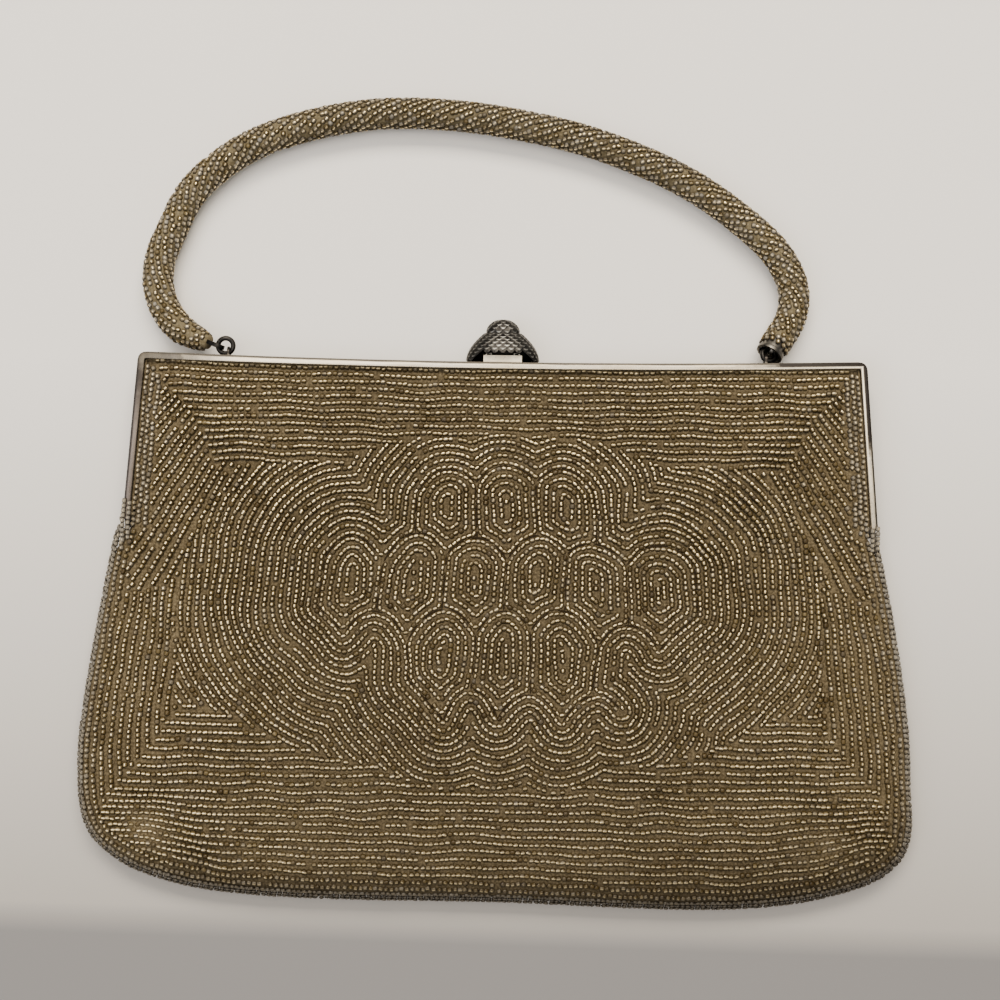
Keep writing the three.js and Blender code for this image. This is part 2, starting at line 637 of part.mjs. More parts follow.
// A flat loop of wire that stands on y = 0 along +Y, with its hole along X.
function wireEye(foot, tip) {
  const half = EYE.holeHalf + EYE.wire;
  const loop = new THREE.Shape();
  loop.moveTo(-half, foot);
  loop.lineTo(half, foot);
  loop.absarc(0, tip - half, half, 0, Math.PI, false);
  loop.closePath();
  const hole = new THREE.Path();
  hole.absarc(0, tip - half, EYE.holeHalf, 0, Math.PI, false);
  hole.lineTo(-EYE.holeHalf, foot + EYE.wire);
  hole.lineTo(EYE.holeHalf, foot + EYE.wire);
  loop.holes.push(hole);
  const bent = new THREE.ExtrudeGeometry(loop, {
    depth: EYE.wire,
    curveSegments: 6,
    bevelEnabled: false,
  });
  return bent.translate(0, 0, -EYE.wire / 2).rotateY(Math.PI / 2);
}
// Turns +Y to a way and keeps X level, so that a loop along X stands upright.
function turnTo(object, way) {
  const level = new THREE.Vector3(way.y, -way.x, 0).normalize();
  const up = new THREE.Vector3().crossVectors(level, way);
  object.quaternion.setFromRotationMatrix(new THREE.Matrix4().makeBasis(level, way, up));
  return object;
}
function rightFerrule() {
  const { radius, bore, length, floor, rim, rimLength } = FERRULE;
  const profile = [
    [0, 0],
    [radius, 0],
    [radius, length - rimLength - 0.2],
    [rim, length - rimLength],
    [rim, length],
    [bore, length],
    [bore, floor],
    [0, floor],
  ].map(([x, y]) => new THREE.Vector2(x, y));
  const cup = new THREE.LatheGeometry(profile, 16);
  const eyeTip = length - FERRULE.ringDepth + RING.wire + GAP + EYE.wire;
  return geometryOf(joined(solid(cup), solid(wireEye(floor / 2, eyeTip))));
}
function frameRing(radius) {
  return new THREE.TorusGeometry(radius, RING.wire, RING.wireSides, RING.sides);
}

// Assembly.
const bag = new THREE.Group();
bag.position.y = FRAME_TOP_Y;
bag.add(mesh("front_frame", frontFrame(), SILVER));
bag.add(mesh("back_frame", backFrame(), SILVER));
bag.add(mesh("left_hinge_pin", hingePin(-1), DARK_SILVER));
bag.add(mesh("right_hinge_pin", hingePin(1), DARK_SILVER));
bag.add(mesh("clasp_pin", claspPin(), DARK_SILVER));
bag.add(mesh("front_panel", panel(frontZ, true), BEADWORK));
bag.add(mesh("back_panel", panel(backZ, false), BEADWORK));
bag.add(mesh("beaded_handle", beadedHandle(), BEADWORK));

const cap = mesh("clasp_cap", claspCap(), DARK_SILVER);
cap.position.set(0, BAR_MIDDLE_Y + GAP, CLASP.z);
bag.add(cap);

const leftRing = mesh("left_frame_ring", frameRing(RING.meanRadius), DARK_SILVER);
leftRing.position.set(LEFT_RING.x, LEFT_RING.y, STAPLE.z);
bag.add(leftRing);

// The left eye runs from the handle's tip through the ring.
const eyeFoot = tipEnd.clone().addScaledVector(tipWay, GAP);
const eyeLength = eyeFoot.distanceTo(leftRingSide) + RING.wire + GAP + EYE.wire;
const leftEye = mesh("left_handle_eye", wireEye(0, eyeLength), DARK_SILVER);
turnTo(leftEye, tipWay).position.copy(eyeFoot);
bag.add(leftEye);

const ferrule = mesh("right_ferrule", rightFerrule(), DARK_SILVER);
turnTo(ferrule, ferruleWay).position.copy(ferruleFoot);
bag.add(ferrule);

// The right ring runs from its staple into the ferrule's cup, round the eye.
const ringFrom = new THREE.Vector3(rightStaple.x, rightStaple.y, STAPLE.z);
const ringTo = ferruleMouth.clone().addScaledVector(ferruleWay, -FERRULE.ringDepth);
const ringSpan = ringTo.clone().sub(ringFrom);
const rightRing = mesh("right_frame_ring", frameRing(ringSpan.length() / 2), DARK_SILVER);
turnTo(rightRing, ringSpan.clone().normalize());
rightRing.position.copy(ringFrom).addScaledVector(ringSpan, 0.5);
bag.add(rightRing);

const part = new THREE.Group();
part.add(bag);

export default part;
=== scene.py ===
# %% [markdown]
# # A beaded evening bag, dressed in Blender
#
# The solids of the bag come in as a fixed frame: a slim metal frame, a cloth pouch, a rope handle
# and a clasp. This lesson puts the surface on them. Nearly all of what the eye sees is small glass
# beads, sewn on in rows, so most of the work is laying out rows and setting a bead on each stitch.

# %% Load the frame
import math

import bpy
import numpy as np
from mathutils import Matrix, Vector, kdtree


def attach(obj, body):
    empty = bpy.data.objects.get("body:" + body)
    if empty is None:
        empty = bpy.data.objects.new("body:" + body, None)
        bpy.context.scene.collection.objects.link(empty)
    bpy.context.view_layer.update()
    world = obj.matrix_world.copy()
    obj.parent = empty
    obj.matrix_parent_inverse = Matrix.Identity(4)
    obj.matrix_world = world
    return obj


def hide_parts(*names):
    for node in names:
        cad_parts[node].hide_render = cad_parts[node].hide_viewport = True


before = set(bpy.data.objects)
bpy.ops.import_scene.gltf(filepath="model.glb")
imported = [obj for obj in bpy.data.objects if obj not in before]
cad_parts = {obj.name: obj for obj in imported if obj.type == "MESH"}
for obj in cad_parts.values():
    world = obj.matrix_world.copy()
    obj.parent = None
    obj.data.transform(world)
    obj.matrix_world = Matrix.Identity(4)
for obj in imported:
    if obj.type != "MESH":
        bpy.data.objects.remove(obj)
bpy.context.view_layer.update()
bpy.ops.object.select_all(action="DESELECT")
MM = 0.001
FRAME_TOP = 70.0  # the ends of the frame's top bar above the origin, in mm
chance = np.random.default_rng(7)
print("solids:", ", ".join(sorted(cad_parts)))

# %% [markdown]
# A few helpers are used everywhere. Colours are written as sRGB hex values, as in a paint chart,
# and Blender wants them linear. A node is added with its settings and links in one call, and an
# input that is given another node takes that node's result. A Mix node for colours has its share
# in socket 0 and its two colours in sockets 6 and 7.

# %% Helpers for colours and nodes
def linear(colour):
    """An sRGB hex value such as '#8a7a58' as linear RGBA."""
    parts = [int(colour[i : i + 2], 16) / 255 for i in (1, 3, 5)]
    return (*[p / 12.92 if p <= 0.04045 else ((p + 0.055) / 1.055) ** 2.4 for p in parts], 1.0)


def plug(tree, made, inputs):
    """Gives each input of a node a value, or a link from a socket or from another node."""
    for key, value in inputs.items():
        if isinstance(value, bpy.types.Node):
            value = next(socket for socket in value.outputs if socket.enabled)
        if isinstance(value, bpy.types.NodeSocket):
            tree.links.new(value, made.inputs[key])
        else:
            made.inputs[key].default_value = value


def node(tree, kind, inputs=(), **settings):
    """Adds a node with its settings and its inputs."""
    made = tree.nodes.new("ShaderNode" + kind)
    for name, value in settings.items():
        setattr(made, name, value)
    plug(tree, made, dict(inputs))
    return made


def finish_named(name):
    """A new material with its node tree and its shader."""
    material = bpy.data.materials.new(name)
    material.use_nodes = True
    return material, material.node_tree, material.node_tree.nodes["Principled BSDF"]


print("a khaki in linear light:", [round(part, 3) for part in linear("#8a7a58")])

# %% [markdown]
# Meshes are filled from number arrays, because thousands of beads are too many to add one at a
# time. Tubes, domes and beads are all rings of points joined by faces. A metal piece starts as a
# copy of its solid instead, with the solid's loose triangles merged.

# %% Helpers for meshes
WELD = 0.004  # mm within which two corners of a solid are one point


def mesh_piece(name, points_mm, faces, material):
    """A smooth mesh object from points in mm, given from the frame's top edge, and its faces."""
    points = (np.asarray(points_mm, float) + (0, FRAME_TOP, 0)) * MM
    mesh = bpy.data.meshes.new(name)
    mesh.vertices.add(len(points))
    mesh.vertices.foreach_set("co", points.ravel())
    mesh.loops.add(faces.size)
    mesh.loops.foreach_set("vertex_index", faces.ravel())
    mesh.polygons.add(len(faces))
    mesh.polygons.foreach_set("loop_start", np.arange(len(faces)) * faces.shape[1])
    mesh.polygons.foreach_set("use_smooth", np.ones(len(faces), bool))
    mesh.update(calc_edges=True)
    mesh.validate()
    mesh.materials.append(material)
    piece = bpy.data.objects.new(name, mesh)
    bpy.context.collection.objects.link(piece)
    return piece


def ring_faces(rings, around):
    """The faces that join rings of points, each ring to the next."""
    first = np.arange(rings - 1)[:, None] * around
    spoke = np.arange(around)[None, :]
    ahead = (spoke + 1) % around
    corners = [first + spoke, first + ahead, first + around + ahead, first + around + spoke]
    return np.stack(corners, axis=-1).reshape(-1, 4)


def select_only(piece):
    """Makes one object the selected and active one, so that operators act on it alone."""
    bpy.ops.object.select_all(action="DESELECT")
    piece.select_set(True)
    bpy.context.view_layer.objects.active = piece


def close_ends(piece):
    """Fills the open ends of a piece made of rings, and turns its faces outwards."""
    select_only(piece)
    bpy.ops.object.mode_set(mode="EDIT")
    bpy.ops.mesh.select_all(action="SELECT")
    bpy.ops.mesh.fill_holes(sides=0)
    bpy.ops.mesh.normals_make_consistent(inside=False)
    bpy.ops.object.mode_set(mode="OBJECT")


def merged_copy(name, source):
    """A copy of a solid as a new piece, with its loose triangles merged."""
    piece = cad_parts[source].copy()
    piece.data = piece.data.copy()
    piece.name = name
    bpy.context.collection.objects.link(piece)
    select_only(piece)
    bpy.ops.object.mode_set(mode="EDIT")
    bpy.ops.mesh.select_all(action="SELECT")
    bpy.ops.mesh.remove_doubles(threshold=WELD * MM)
    bpy.ops.object.mode_set(mode="OBJECT")
    return piece


print("faces between two rings of six points:", len(ring_faces(2, 6)))

# %% [markdown]
# ## The stage
#
# The bag lies on a pale table and is seen straight from above. The camera hangs over the middle of
# the picture and is turned by less than a degree, because the bag lies a little askew. A large soft
# light comes from beyond the handle, another from the ceiling and a weaker one from the near left.
# The table is darker on the near side, where it lies in shade.

# %% Camera
PICTURE_WIDTH = 259.7  # mm of table across the picture, at the height of the frame
CAMERA_HEIGHT = 430.0
FRAME_FACE = 9.0  # height of the frame's upper face
SENSOR = 36.0
LOOK_AT = (-0.145, 32.8)
TURN = math.radians(0.87)
bpy.ops.object.camera_add(
    location=(LOOK_AT[0] * MM, LOOK_AT[1] * MM, CAMERA_HEIGHT * MM),
    rotation=(0, 0, TURN),
)
camera = bpy.context.object
camera.data.sensor_width = SENSOR
camera.data.lens = SENSOR * (CAMERA_HEIGHT - FRAME_FACE) / PICTURE_WIDTH
camera.data.clip_start = 0.01
bpy.context.scene.camera = camera
print("lens", round(camera.data.lens, 1), "mm")

# %% Table
TABLE_SIZE = 6.0
TABLE_DROP = 0.0002  # keeps the table just clear of the beads
TABLE_FADE = (-0.08, 0.07)  # metres along Y from the darker to the lighter tone
SHADE_EDGE = (-0.0855, -0.0775)  # metres along Y across the edge of the shade on the near side
SHADE_SLANT = 0.016
table_paint, tree, shader = finish_named("painted_table_top")
place = node(tree, "TexCoord").outputs["Object"]
axes = node(tree, "SeparateXYZ", {"Vector": place}).outputs
fade = node(tree, "MapRange", {"Value": axes["Y"], "From Min": TABLE_FADE[0], "From Max": TABLE_FADE[1]})
pale = node(tree, "Mix", {0: fade, 6: linear("#a8a39b"), 7: linear("#f0ece4")}, data_type="RGBA")
askew = node(tree, "Math", {0: axes["X"], 1: SHADE_SLANT}, operation="MULTIPLY")
line = node(tree, "Math", {0: axes["Y"], 1: askew}, operation="ADD")
lit = node(tree, "MapRange", {"Value": line, "From Min": SHADE_EDGE[0], "From Max": SHADE_EDGE[1]})
shaded = node(tree, "Mix", {0: lit, 6: linear("#7f7d7b"), 7: pale}, data_type="RGBA")
plug(tree, shader, {"Base Color": shaded, "Roughness": 0.6, "Specular IOR Level": 0.2})
bpy.ops.mesh.primitive_plane_add(size=TABLE_SIZE, location=(0, 0, -TABLE_DROP))
table = bpy.context.object
table.name = "table_top"
table.data.materials.append(table_paint)
print("table", TABLE_SIZE, "m wide")

# %% Lights
SOFT_LIGHTS = (
    # name, place, aim, size in metres, power in watts, colour
    ("window", (0.05, 1.0, 1.1), (0, 0.05, 0), (1.2, 0.5), 31, "#fff5e6"),
    ("ceiling", (0.0, 0.25, 1.7), (0, 0.0, 0), (1.3, 1.0), 15, "#fff6ea"),
    ("room", (-0.9, -0.3, 1.3), (0, 0.0, 0), (1.0, 1.0), 9, "#f6f6ff"),
)
AIR_GLOW = 0.52
for name, place, aim, size, power, colour in SOFT_LIGHTS:
    bpy.ops.object.light_add(type="AREA", location=place)
    light = bpy.context.object
    light.name = name
    light.data.shape = "RECTANGLE"
    light.data.size = size[0]
    light.data.size_y = size[1]
    light.data.energy = power
    light.data.color = linear(colour)[:3]
    light.rotation_euler = (Vector(aim) - Vector(place)).to_track_quat("-Z", "Y").to_euler()
bpy.context.scene.world = bpy.data.worlds.new("room_air")
bpy.context.scene.world.use_nodes = True
background = bpy.context.scene.world.node_tree.nodes["Background"]
background.inputs["Color"].default_value = linear("#e8e6e4")
background.inputs["Strength"].default_value = AIR_GLOW
print("lights:", len(SOFT_LIGHTS))

# %% [markdown]
# ## The shape of the pouch
#
# Beads sit on the pouch, so each bead needs the height of the cloth under it and the way the cloth
# faces. The front is a shallow dome with a rounded edge along the seam. Its height is worked out
# from two distances, to the seam and to the frame, which is how the solid was drawn too.

# %% Outline of the pouch
POUCH_HEIGHT = 141.3  # mm from the ends of the frame's top edge down to the bottom
FRAME_HALF = 94.5  # half width of the frame along its top edge
FRAME_SAG = 1.45  # how far the middle of the top bar hangs below its ends
STRIP = 1.7  # width of the metal strip that shows
ARM_END = -43.4  # y of the lower ends of the arms
SPLAY = math.radians(4.6)  # how far the arms spread downwards
SEAM_Z = 5.6
EDGE_REACH = 6.0  # width of the rounded edge along the seam
FRONT_SHOULDER = 8.45  # height of the front where the rounded edge ends
FRONT_RISE = 5.0  # how much higher than that its middle is
RISE_REACH = 48.0  # mm from the edge over which it rises
MOUTH_REACH = 12.0  # mm over which dents set in, and the back comes down from the frame
BACK_MOUTH = 2.85  # height of the back along the frame
CURVE_POINTS = 24  # on each curve of the seam
DENTS = np.array([
    # x, y, reach, depth
    (-92, -124, 11, 1.3),
    (-76, -130, 9, -0.7),
    (88, -126, 12, 0.9),
    (0, -22, 30, 0.8),
    (-40, -118, 22, 0.5),
    (42, -112, 24, -0.5),
])


def bezier(a, b, c, d):
    """Points on a cubic curve from a to d, without its last point."""
    t = np.linspace(0, 1, CURVE_POINTS, endpoint=False)[:, None]
    a, b, c, d = (np.array(p, float) for p in (a, b, c, d))
    return (1 - t) ** 3 * a + 3 * t * (1 - t) ** 2 * b + 3 * t * t * (1 - t) * c + t**3 * d


SEAM_HALVES = {
    # per side, with x counted outwards: the hinge, then per curve two handles and its end
    -1: (
        (99.2, -44.6), (100.7, -48.8),
        (103.3, -63.1), (109.2, -94.8), (109.2, -105.7),
        (109.2, -117.8), (108.2, -124.2), (102.4, -129.0),
        (97.9, -132.8), (93.0, -135.1), (83.7, -137.5),
        (65.7, -142.2), (28.9, -141.0), (0.0, -POUCH_HEIGHT),
    ),
    1: (
        (97.8, -44.6), (98.9, -48.8),
        (103.0, -66.1), (107.7, -93.4), (107.7, -104.5),
        (107.7, -116.4), (110.4, -125.2), (103.8, -131.3),
        (99.5, -135.3), (94.3, -136.8), (85.8, -139.1),
        (63.8, -144.9), (29.7, -141.7), (0.0, -POUCH_HEIGHT),
    ),
}


def half_seam(points):
    """One half of the seam as a line of points, from the hinge to the middle of the bottom."""
    curves = [bezier(*points[i : i + 4]) for i in range(1, len(points) - 3, 3)]
    return np.vstack([points[:1], *curves, points[-1:]])


half_seams = {side: half_seam(points) for side, points in SEAM_HALVES.items()}
seam_line = np.vstack([half_seams[1], (half_seams[-1] * (-1, 1))[-2::-1]])
print("seam of", len(seam_line), "points")

# %% Edge of the frame
def sag(x):
    """How far the frame's top bar lies below its ends."""
    return -FRAME_SAG * np.maximum(0, 1 - (np.asarray(x) / FRAME_HALF) ** 2)


def frame_x(inset, y):
    """How far the frame's arm is from the middle, at a height, at an inset from its outside."""
    return FRAME_HALF - math.tan(SPLAY) * y - inset / math.cos(SPLAY)


MOUTH_INSET = 1.3  # mm from the frame's outer edge to the edge of the cloth
bar_x = np.linspace(-1, 1, 21) * frame_x(MOUTH_INSET, -MOUTH_INSET)
under_bar = np.column_stack([bar_x, sag(bar_x) - MOUTH_INSET])
arm_foot = (frame_x(MOUTH_INSET, ARM_END), ARM_END)
mouth_line = np.vstack([[(-arm_foot[0], ARM_END)], under_bar, [arm_foot]])
print("arms end", round(arm_foot[0], 1), "mm from the middle")

# %% Distances in plan
def distance_to(points, line):
    """The distance of each point to the nearest place on a line of points."""
    best = np.full(len(points), np.inf)
    for start, end in zip(line[:-1], line[1:]):
        along = end - start
        part = np.clip(((points - start) @ along) / (along @ along), 0, 1)
        best = np.minimum(best, np.hypot(*(points - start - part[:, None] * along).T))
    return best


def inside_of(points, line):
    """Whether each point lies inside a closed line of points."""
    ends = np.roll(line, -1, axis=0)
    within = np.zeros(len(points), bool)
    for (x0, y0), (x1, y1) in zip(line, ends):
        crosses = (points[:, 1] > y0) != (points[:, 1] > y1)
        slope = (x1 - x0) / (y1 - y0) if y1 != y0 else 0.0
        within ^= crosses & (points[:, 0] < x0 + slope * (points[:, 1] - y0))
    return within


outline = np.vstack([under_bar, seam_line])
print("outline of", len(outline), "points")

# %% Height of the front and of the back
def unit(vectors):
    """Vectors made one long."""
    return vectors / np.linalg.norm(vectors, axis=-1, keepdims=True)


def swell(distance, reach):
    """A rise from 0 to 1 that starts steeply and ends level."""
    return 1 - (1 - np.clip(distance / reach, 0, 1)) ** 2


def quarter_round(distance):
    """A rise from 0 to 1 round the edge along the seam."""
    return np.sqrt(swell(distance, EDGE_REACH))


def front_height(points):
    """Height of the front's outer face at points in plan."""
    seam = np.where(inside_of(points, outline), distance_to(points, seam_line), 0.0)
    near = np.minimum(seam, distance_to(points, mouth_line))
    height = SEAM_Z + (FRONT_SHOULDER - SEAM_Z) * quarter_round(seam)
    dents = np.zeros(len(points))
    for x, y, reach, depth in DENTS:
        away = np.hypot(points[:, 0] - x, points[:, 1] - y) / reach
        dents += depth * np.exp(-away * away)
    return height + FRONT_RISE * swell(near, RISE_REACH) - dents * swell(near, MOUTH_REACH)


def back_height(points):
    """Height of the back's outer face at points in plan."""
    seam = np.where(inside_of(points, outline), distance_to(points, seam_line), 0.0)
    lift = BACK_MOUTH * (1 - swell(distance_to(points, mouth_line), MOUTH_REACH))
    return SEAM_Z - (SEAM_Z - lift) * quarter_round(seam)


def facing(points, height, side):
    """The way the cloth faces at points in plan: +1 is the front's side, -1 the back's."""
    step = 0.04
    slope_x = (height(points + (step, 0)) - height(points - (step, 0))) / (2 * step)
    slope_y = (height(points + (0, step)) - height(points - (0, step))) / (2 * step)
    return unit(side * np.stack([-slope_x, -slope_y, np.ones(len(points))], axis=1))


middle_of_front = np.array([(0.0, -POUCH_HEIGHT / 2)])
print("middle of the front:", round(float(front_height(middle_of_front)[0]), 2), "mm high")

# %% [markdown]
# The rounded edge hides distance when it is seen from above: a row of beads that is a full row
# further round the edge moves in by less in plan. `inset_of` turns the length round the edge into
# the distance from the seam in plan.

# %% Rows round the edge
def reached_along(line):
    """The length from the start of a line of points in plan to each of them."""
    return np.concatenate([[0], np.cumsum(np.hypot(*np.diff(line, axis=0).T))])


def places_at(lengths, reached, line, period=None):
    """The places at lengths along a line of points."""
    return np.column_stack([np.interp(lengths, reached, column, period=period) for column in line.T])


edge_turn = np.linspace(0, math.pi / 2, 200)
edge_in = EDGE_REACH * (1 - np.cos(edge_turn))
edge_up = (FRONT_SHOULDER - SEAM_Z) * np.sin(edge_turn)
edge_length = reached_along(np.column_stack([edge_in, edge_up]))


def inset_of(length):
    """Distance from the seam in plan, for a length measured round the edge from the seam."""
    length = np.asarray(length, float)
    return np.interp(length, edge_length, edge_in) + np.maximum(length - edge_length[-1], 0)


print("round edge", round(float(edge_length[-1]), 2), "mm")

# %% [markdown]
# ## Where the rows of beads run
#
# The middle of the front is a patch of cells, drawn like a honeycomb: each cell has an arched top,
# upright sides and a pointed foot between the arches of the row below. Beads fill each cell in
# loops that follow its outline, and go round the whole patch like ripples. Both are lines of equal
# distance from the outlines, so only the outlines are drawn.

# %% Outlines of the cells
ROW = 1.82  # mm from one row of beads to the next, in the cells
RIPPLE_ROW = 1.97  # the same round the cells
TOP_ROW = 1.95  # under the frame
BAND_ROW = 2.16  # at the sides and along the bottom
PITCH = 1.37  # mm from one bead to the next along a row
CELL_ROWS = (
    # borders across (x), tops of the arches (y), valleys between the arches (y)
    ((-21.8, -6.6, 9.1, 24.4), (-29.7, -28.4, -29.2), (-35.8, -33.0, -32.5, -35.1)),
    (
        (-45.1, -30.0, -13.7, 1.9, 17.2, 32.5, 50.2),
        (-47.0, -46.2, -47.0, -46.2, -48.2, -48.4),
        (-52.8, -53.8, -51.5, -52.6, -51.1, -53.7, -53.9),
    ),
    (
        (-39.6, -23.5, -5.8, 8.2, 25.8, 41.2),
        (-66.3, -65.6, -65.8, -65.6, -69.0),
        (-72.2, -74.0, -71.7, -70.7, -74.3, -75.4),
    ),
    ((-13.9, 0.1, 16.8, 31.6), (-86.2, -87.3, -87.3), (-94.0, -93.4, -94.2, -90.6)),
)
ARCH_POWER = 2.2  # 2 is a parabola, and more is a flatter top
FOOT_REACH = 5.0  # mm that a foot may lie beside the top of the arch below it
SLANTED_SIDES = (
    ((-45.1, -52.8), (-46.5, -65.3), (-39.6, -72.2)),
    ((50.2, -53.9), (51.1, -65.9), (41.2, -75.4)),
    ((-23.5, -74.0), (-23.3, -83.6), (-13.9, -94.0)),
)


def arch(left, right, top):
    """An arch over one cell, from valley to valley."""
    across = np.linspace(-1, 1, 17)
    x = left[0] + (right[0] - left[0]) / 2 * (across + 1)
    foot = np.interp(across, (-1, 1), (left[1], right[1]))
    rise = top - (left[1] + right[1]) / 2
    return np.column_stack([x, foot + rise * (1 - np.abs(across) ** ARCH_POWER)])


cell_lines = [np.array(line) for line in SLANTED_SIDES]
for row, (borders, tops, valleys) in enumerate(CELL_ROWS):
    feet = list(zip(borders, valleys))
    for left, right, top in zip(feet, feet[1:], tops):
        cell_lines.append(arch(left, right, top))
    if row + 1 < len(CELL_ROWS):
        borders_below, tops_below, _ = CELL_ROWS[row + 1]
        middles = (np.array(borders_below[1:]) + borders_below[:-1]) / 2
        for foot in feet:
            under = int(np.argmin(np.abs(middles - foot[0])))
            if abs(middles[under] - foot[0]) < FOOT_REACH:
                cell_lines.append(np.array([foot, (middles[under], tops_below[under])]))


def distance_to_cells(points):
    """Distance of each point to the nearest outline of a cell."""
    return np.min([distance_to(points, line) for line in cell_lines], axis=0)


print("outlines in the middle:", len(cell_lines))

# %% [markdown]
# A line of equal distance is found as a map maker draws contours: the distance is worked out on a
# fine grid, the grid's edges that pass the wanted value are found, and neighbours are linked.

# %% Contour lines on a grid
GRID_STEP = 0.4
GRID_X = (-84, 84)  # the part of the front that the loops and ripples can reach
GRID_Y = (-114, -19)
grid_x = np.arange(*GRID_X, GRID_STEP)
grid_y = np.arange(*GRID_Y, GRID_STEP)


def smoothed(values, reach=3, spread=1.3):
    """A grid of values with each one averaged with its neighbours, which rounds sharp creases."""
    weights = np.exp(-((np.arange(-reach, reach + 1) / spread) ** 2) / 2)
    weights /= weights.sum()
    for axis in (0, 1):
        values = sum(w * np.roll(values, i - reach, axis) for i, w in enumerate(weights))
    return values


def level_lines(values, level):
    """Lines of points along which the grid passes a level, and whether each one is closed."""
    high = values > level
    across_edge = high[:, :-1] != high[:, 1:]
    upright_edge = high[:-1] != high[1:]
    links = {}
    crossed = across_edge[:-1] | across_edge[1:] | upright_edge[:, :-1] | upright_edge[:, 1:]
    for j, i in np.argwhere(crossed):
        sides = (
            (across_edge[j, i], (0, j, i)),
            (upright_edge[j, i + 1], (1, j, i + 1)),
            (across_edge[j + 1, i], (0, j + 1, i)),
            (upright_edge[j, i], (1, j, i)),
        )
        passed = [edge for passes, edge in sides if passes]
        for a, b in zip(passed[::2], passed[1::2]):
            links.setdefault(a, []).append(b)
            links.setdefault(b, []).append(a)

    def place(edge):
        upright, j, i = edge
        here = values[j, i]
        there = values[j + 1, i] if upright else values[j, i + 1]
        part = GRID_STEP * (level - here) / (there - here)
        return (grid_x[i] + (0 if upright else part), grid_y[j] + (part if upright else 0))

    lines = []
    seen = set()
    for start in sorted(links, key=lambda edge: len(links[edge])):
        if start in seen:
            continue
        walk = [start]
        seen.add(start)
        ahead = True
        while ahead:
            ahead = [edge for edge in links[walk[-1]] if edge not in seen]
            walk += ahead[:1]
            seen.update(ahead[:1])
        closed = len(walk) > 4 and start in links[walk[-1]]
        lines.append((np.array([place(edge) for edge in walk + walk[:1] * closed]), closed))
    return lines


grid_points = np.stack(np.meshgrid(grid_x, grid_y), axis=-1)
cell_distance = distance_to_cells(grid_points.reshape(-1, 2)).reshape(grid_points.shape[:2])
cell_distance = smoothed(cell_distance)
print("grid of", cell_distance.shape)

# %% [markdown]
# Around the patch, straight rows fill the band under the frame and the band along the bottom.
# Slanted and upright rows fill the sides, and they meet the bands along mitred corners. Each point
# of the front belongs to one kind of row, and these tables say where each kind ends. The bag is
# nearly the same left and right, so they are drawn for one half.

# %% Which kind of row shows where
EDGE_ROWS = 3  # along the seam
ARM_ROWS = 3  # beside each arm
ARM_ROW = 1.55  # mm between the rows beside the arms
CELL_LOOPS = 4  # rows that keep the narrower distance
RIPPLE_REACH = 29.0  # mm from the cells to the last ripple round them
ARM_ROWS_END = -46.0
EDGE_ROWS_TOP = -45.0
METAL_GAP = 0.2  # mm from the metal to the first stitch
HINGE_GAP = 0.5
EDGE_EASE = 0.1  # mm that the edge rows leave to their neighbours
TOP_MITRE = np.array([(-30, 72.3), (-26, 74.9), (-18.5, 78.4), (-8.5, 86.4), (-2.3, 91.0), (0, 93.0)])
SIDE_FLOOR = np.array([(72, -40.7), (78.5, -50), (85.6, -60), (93.4, -62.3), (106, -64.6)])
RIPPLE_ROOF = np.array([(72, -36), (76, -41), (83.5, -55)])
TOP_FLOOR = np.array([(0, -20.4), (26, -21.8), (33, -24.5), (40, -27.8), (76, -28.6)])
LOW_MITRE = np.array([
    (-126, 106.0), (-117.3, 102), (-112, 99.0), (-107.3, 94), (-100, 88.4), (-91, 81.5),
])
LOW_ROOF = np.array([
    (0, -112.3), (15, -111.5), (25, -108.6), (30, -106.3), (41, -104.2), (52, -101.5),
    (60, -98.2), (65, -95.2), (71, -92.4), (78, -91.5), (83, -91.0),
])
MIDDLE, TOP, SLANT, UPRIGHT, LOW, EDGE, ARM = range(1, 8)


def kind_at(points):
    """The kind of row that shows at each point of the front."""
    x = np.abs(points[:, 0])
    y = points[:, 1]
    top_mitre = np.interp(y, *TOP_MITRE.T)
    kind = np.full(len(points), SLANT)
    kind[y < np.interp(x, *SIDE_FLOOR.T)] = UPRIGHT
    under_roof = (x < RIPPLE_ROOF[-1, 0]) & (y < np.interp(x, *RIPPLE_ROOF.T))
    kind[under_roof | (distance_to_cells(points) < RIPPLE_REACH)] = MIDDLE
    kind[(x < np.interp(y, *LOW_MITRE.T)) & (y < np.interp(x, *LOW_ROOF.T))] = LOW
    kind[(y > np.interp(x, *TOP_FLOOR.T)) & (x < top_mitre)] = TOP
    arm = frame_x(STRIP, y) - x
    kind[(y > ARM_ROWS_END) & (arm < ARM_ROWS * ARM_ROW) & (x > top_mitre)] = ARM
    seam = distance_to(points, seam_line)
    kind[(y < EDGE_ROWS_TOP) & (seam < inset_of(EDGE_ROWS * BAND_ROW) - EDGE_EASE)] = EDGE
    kind[~inside_of(points, outline)] = 0
    beside_arm = (y > ARM_END - HINGE_GAP) & (arm < METAL_GAP)
    kind[beside_arm | (y > sag(x) - STRIP - METAL_GAP)] = 0
    return kind


print("kind of row in the middle of the front:", kind_at(middle_of_front)[0])

# %% [markdown]
# A sewn row is never quite straight. The straight rows share a slow wave that changes little from
# one row to the next, so that they stay side by side, and each bead gets a small turn and a small
# difference in size.

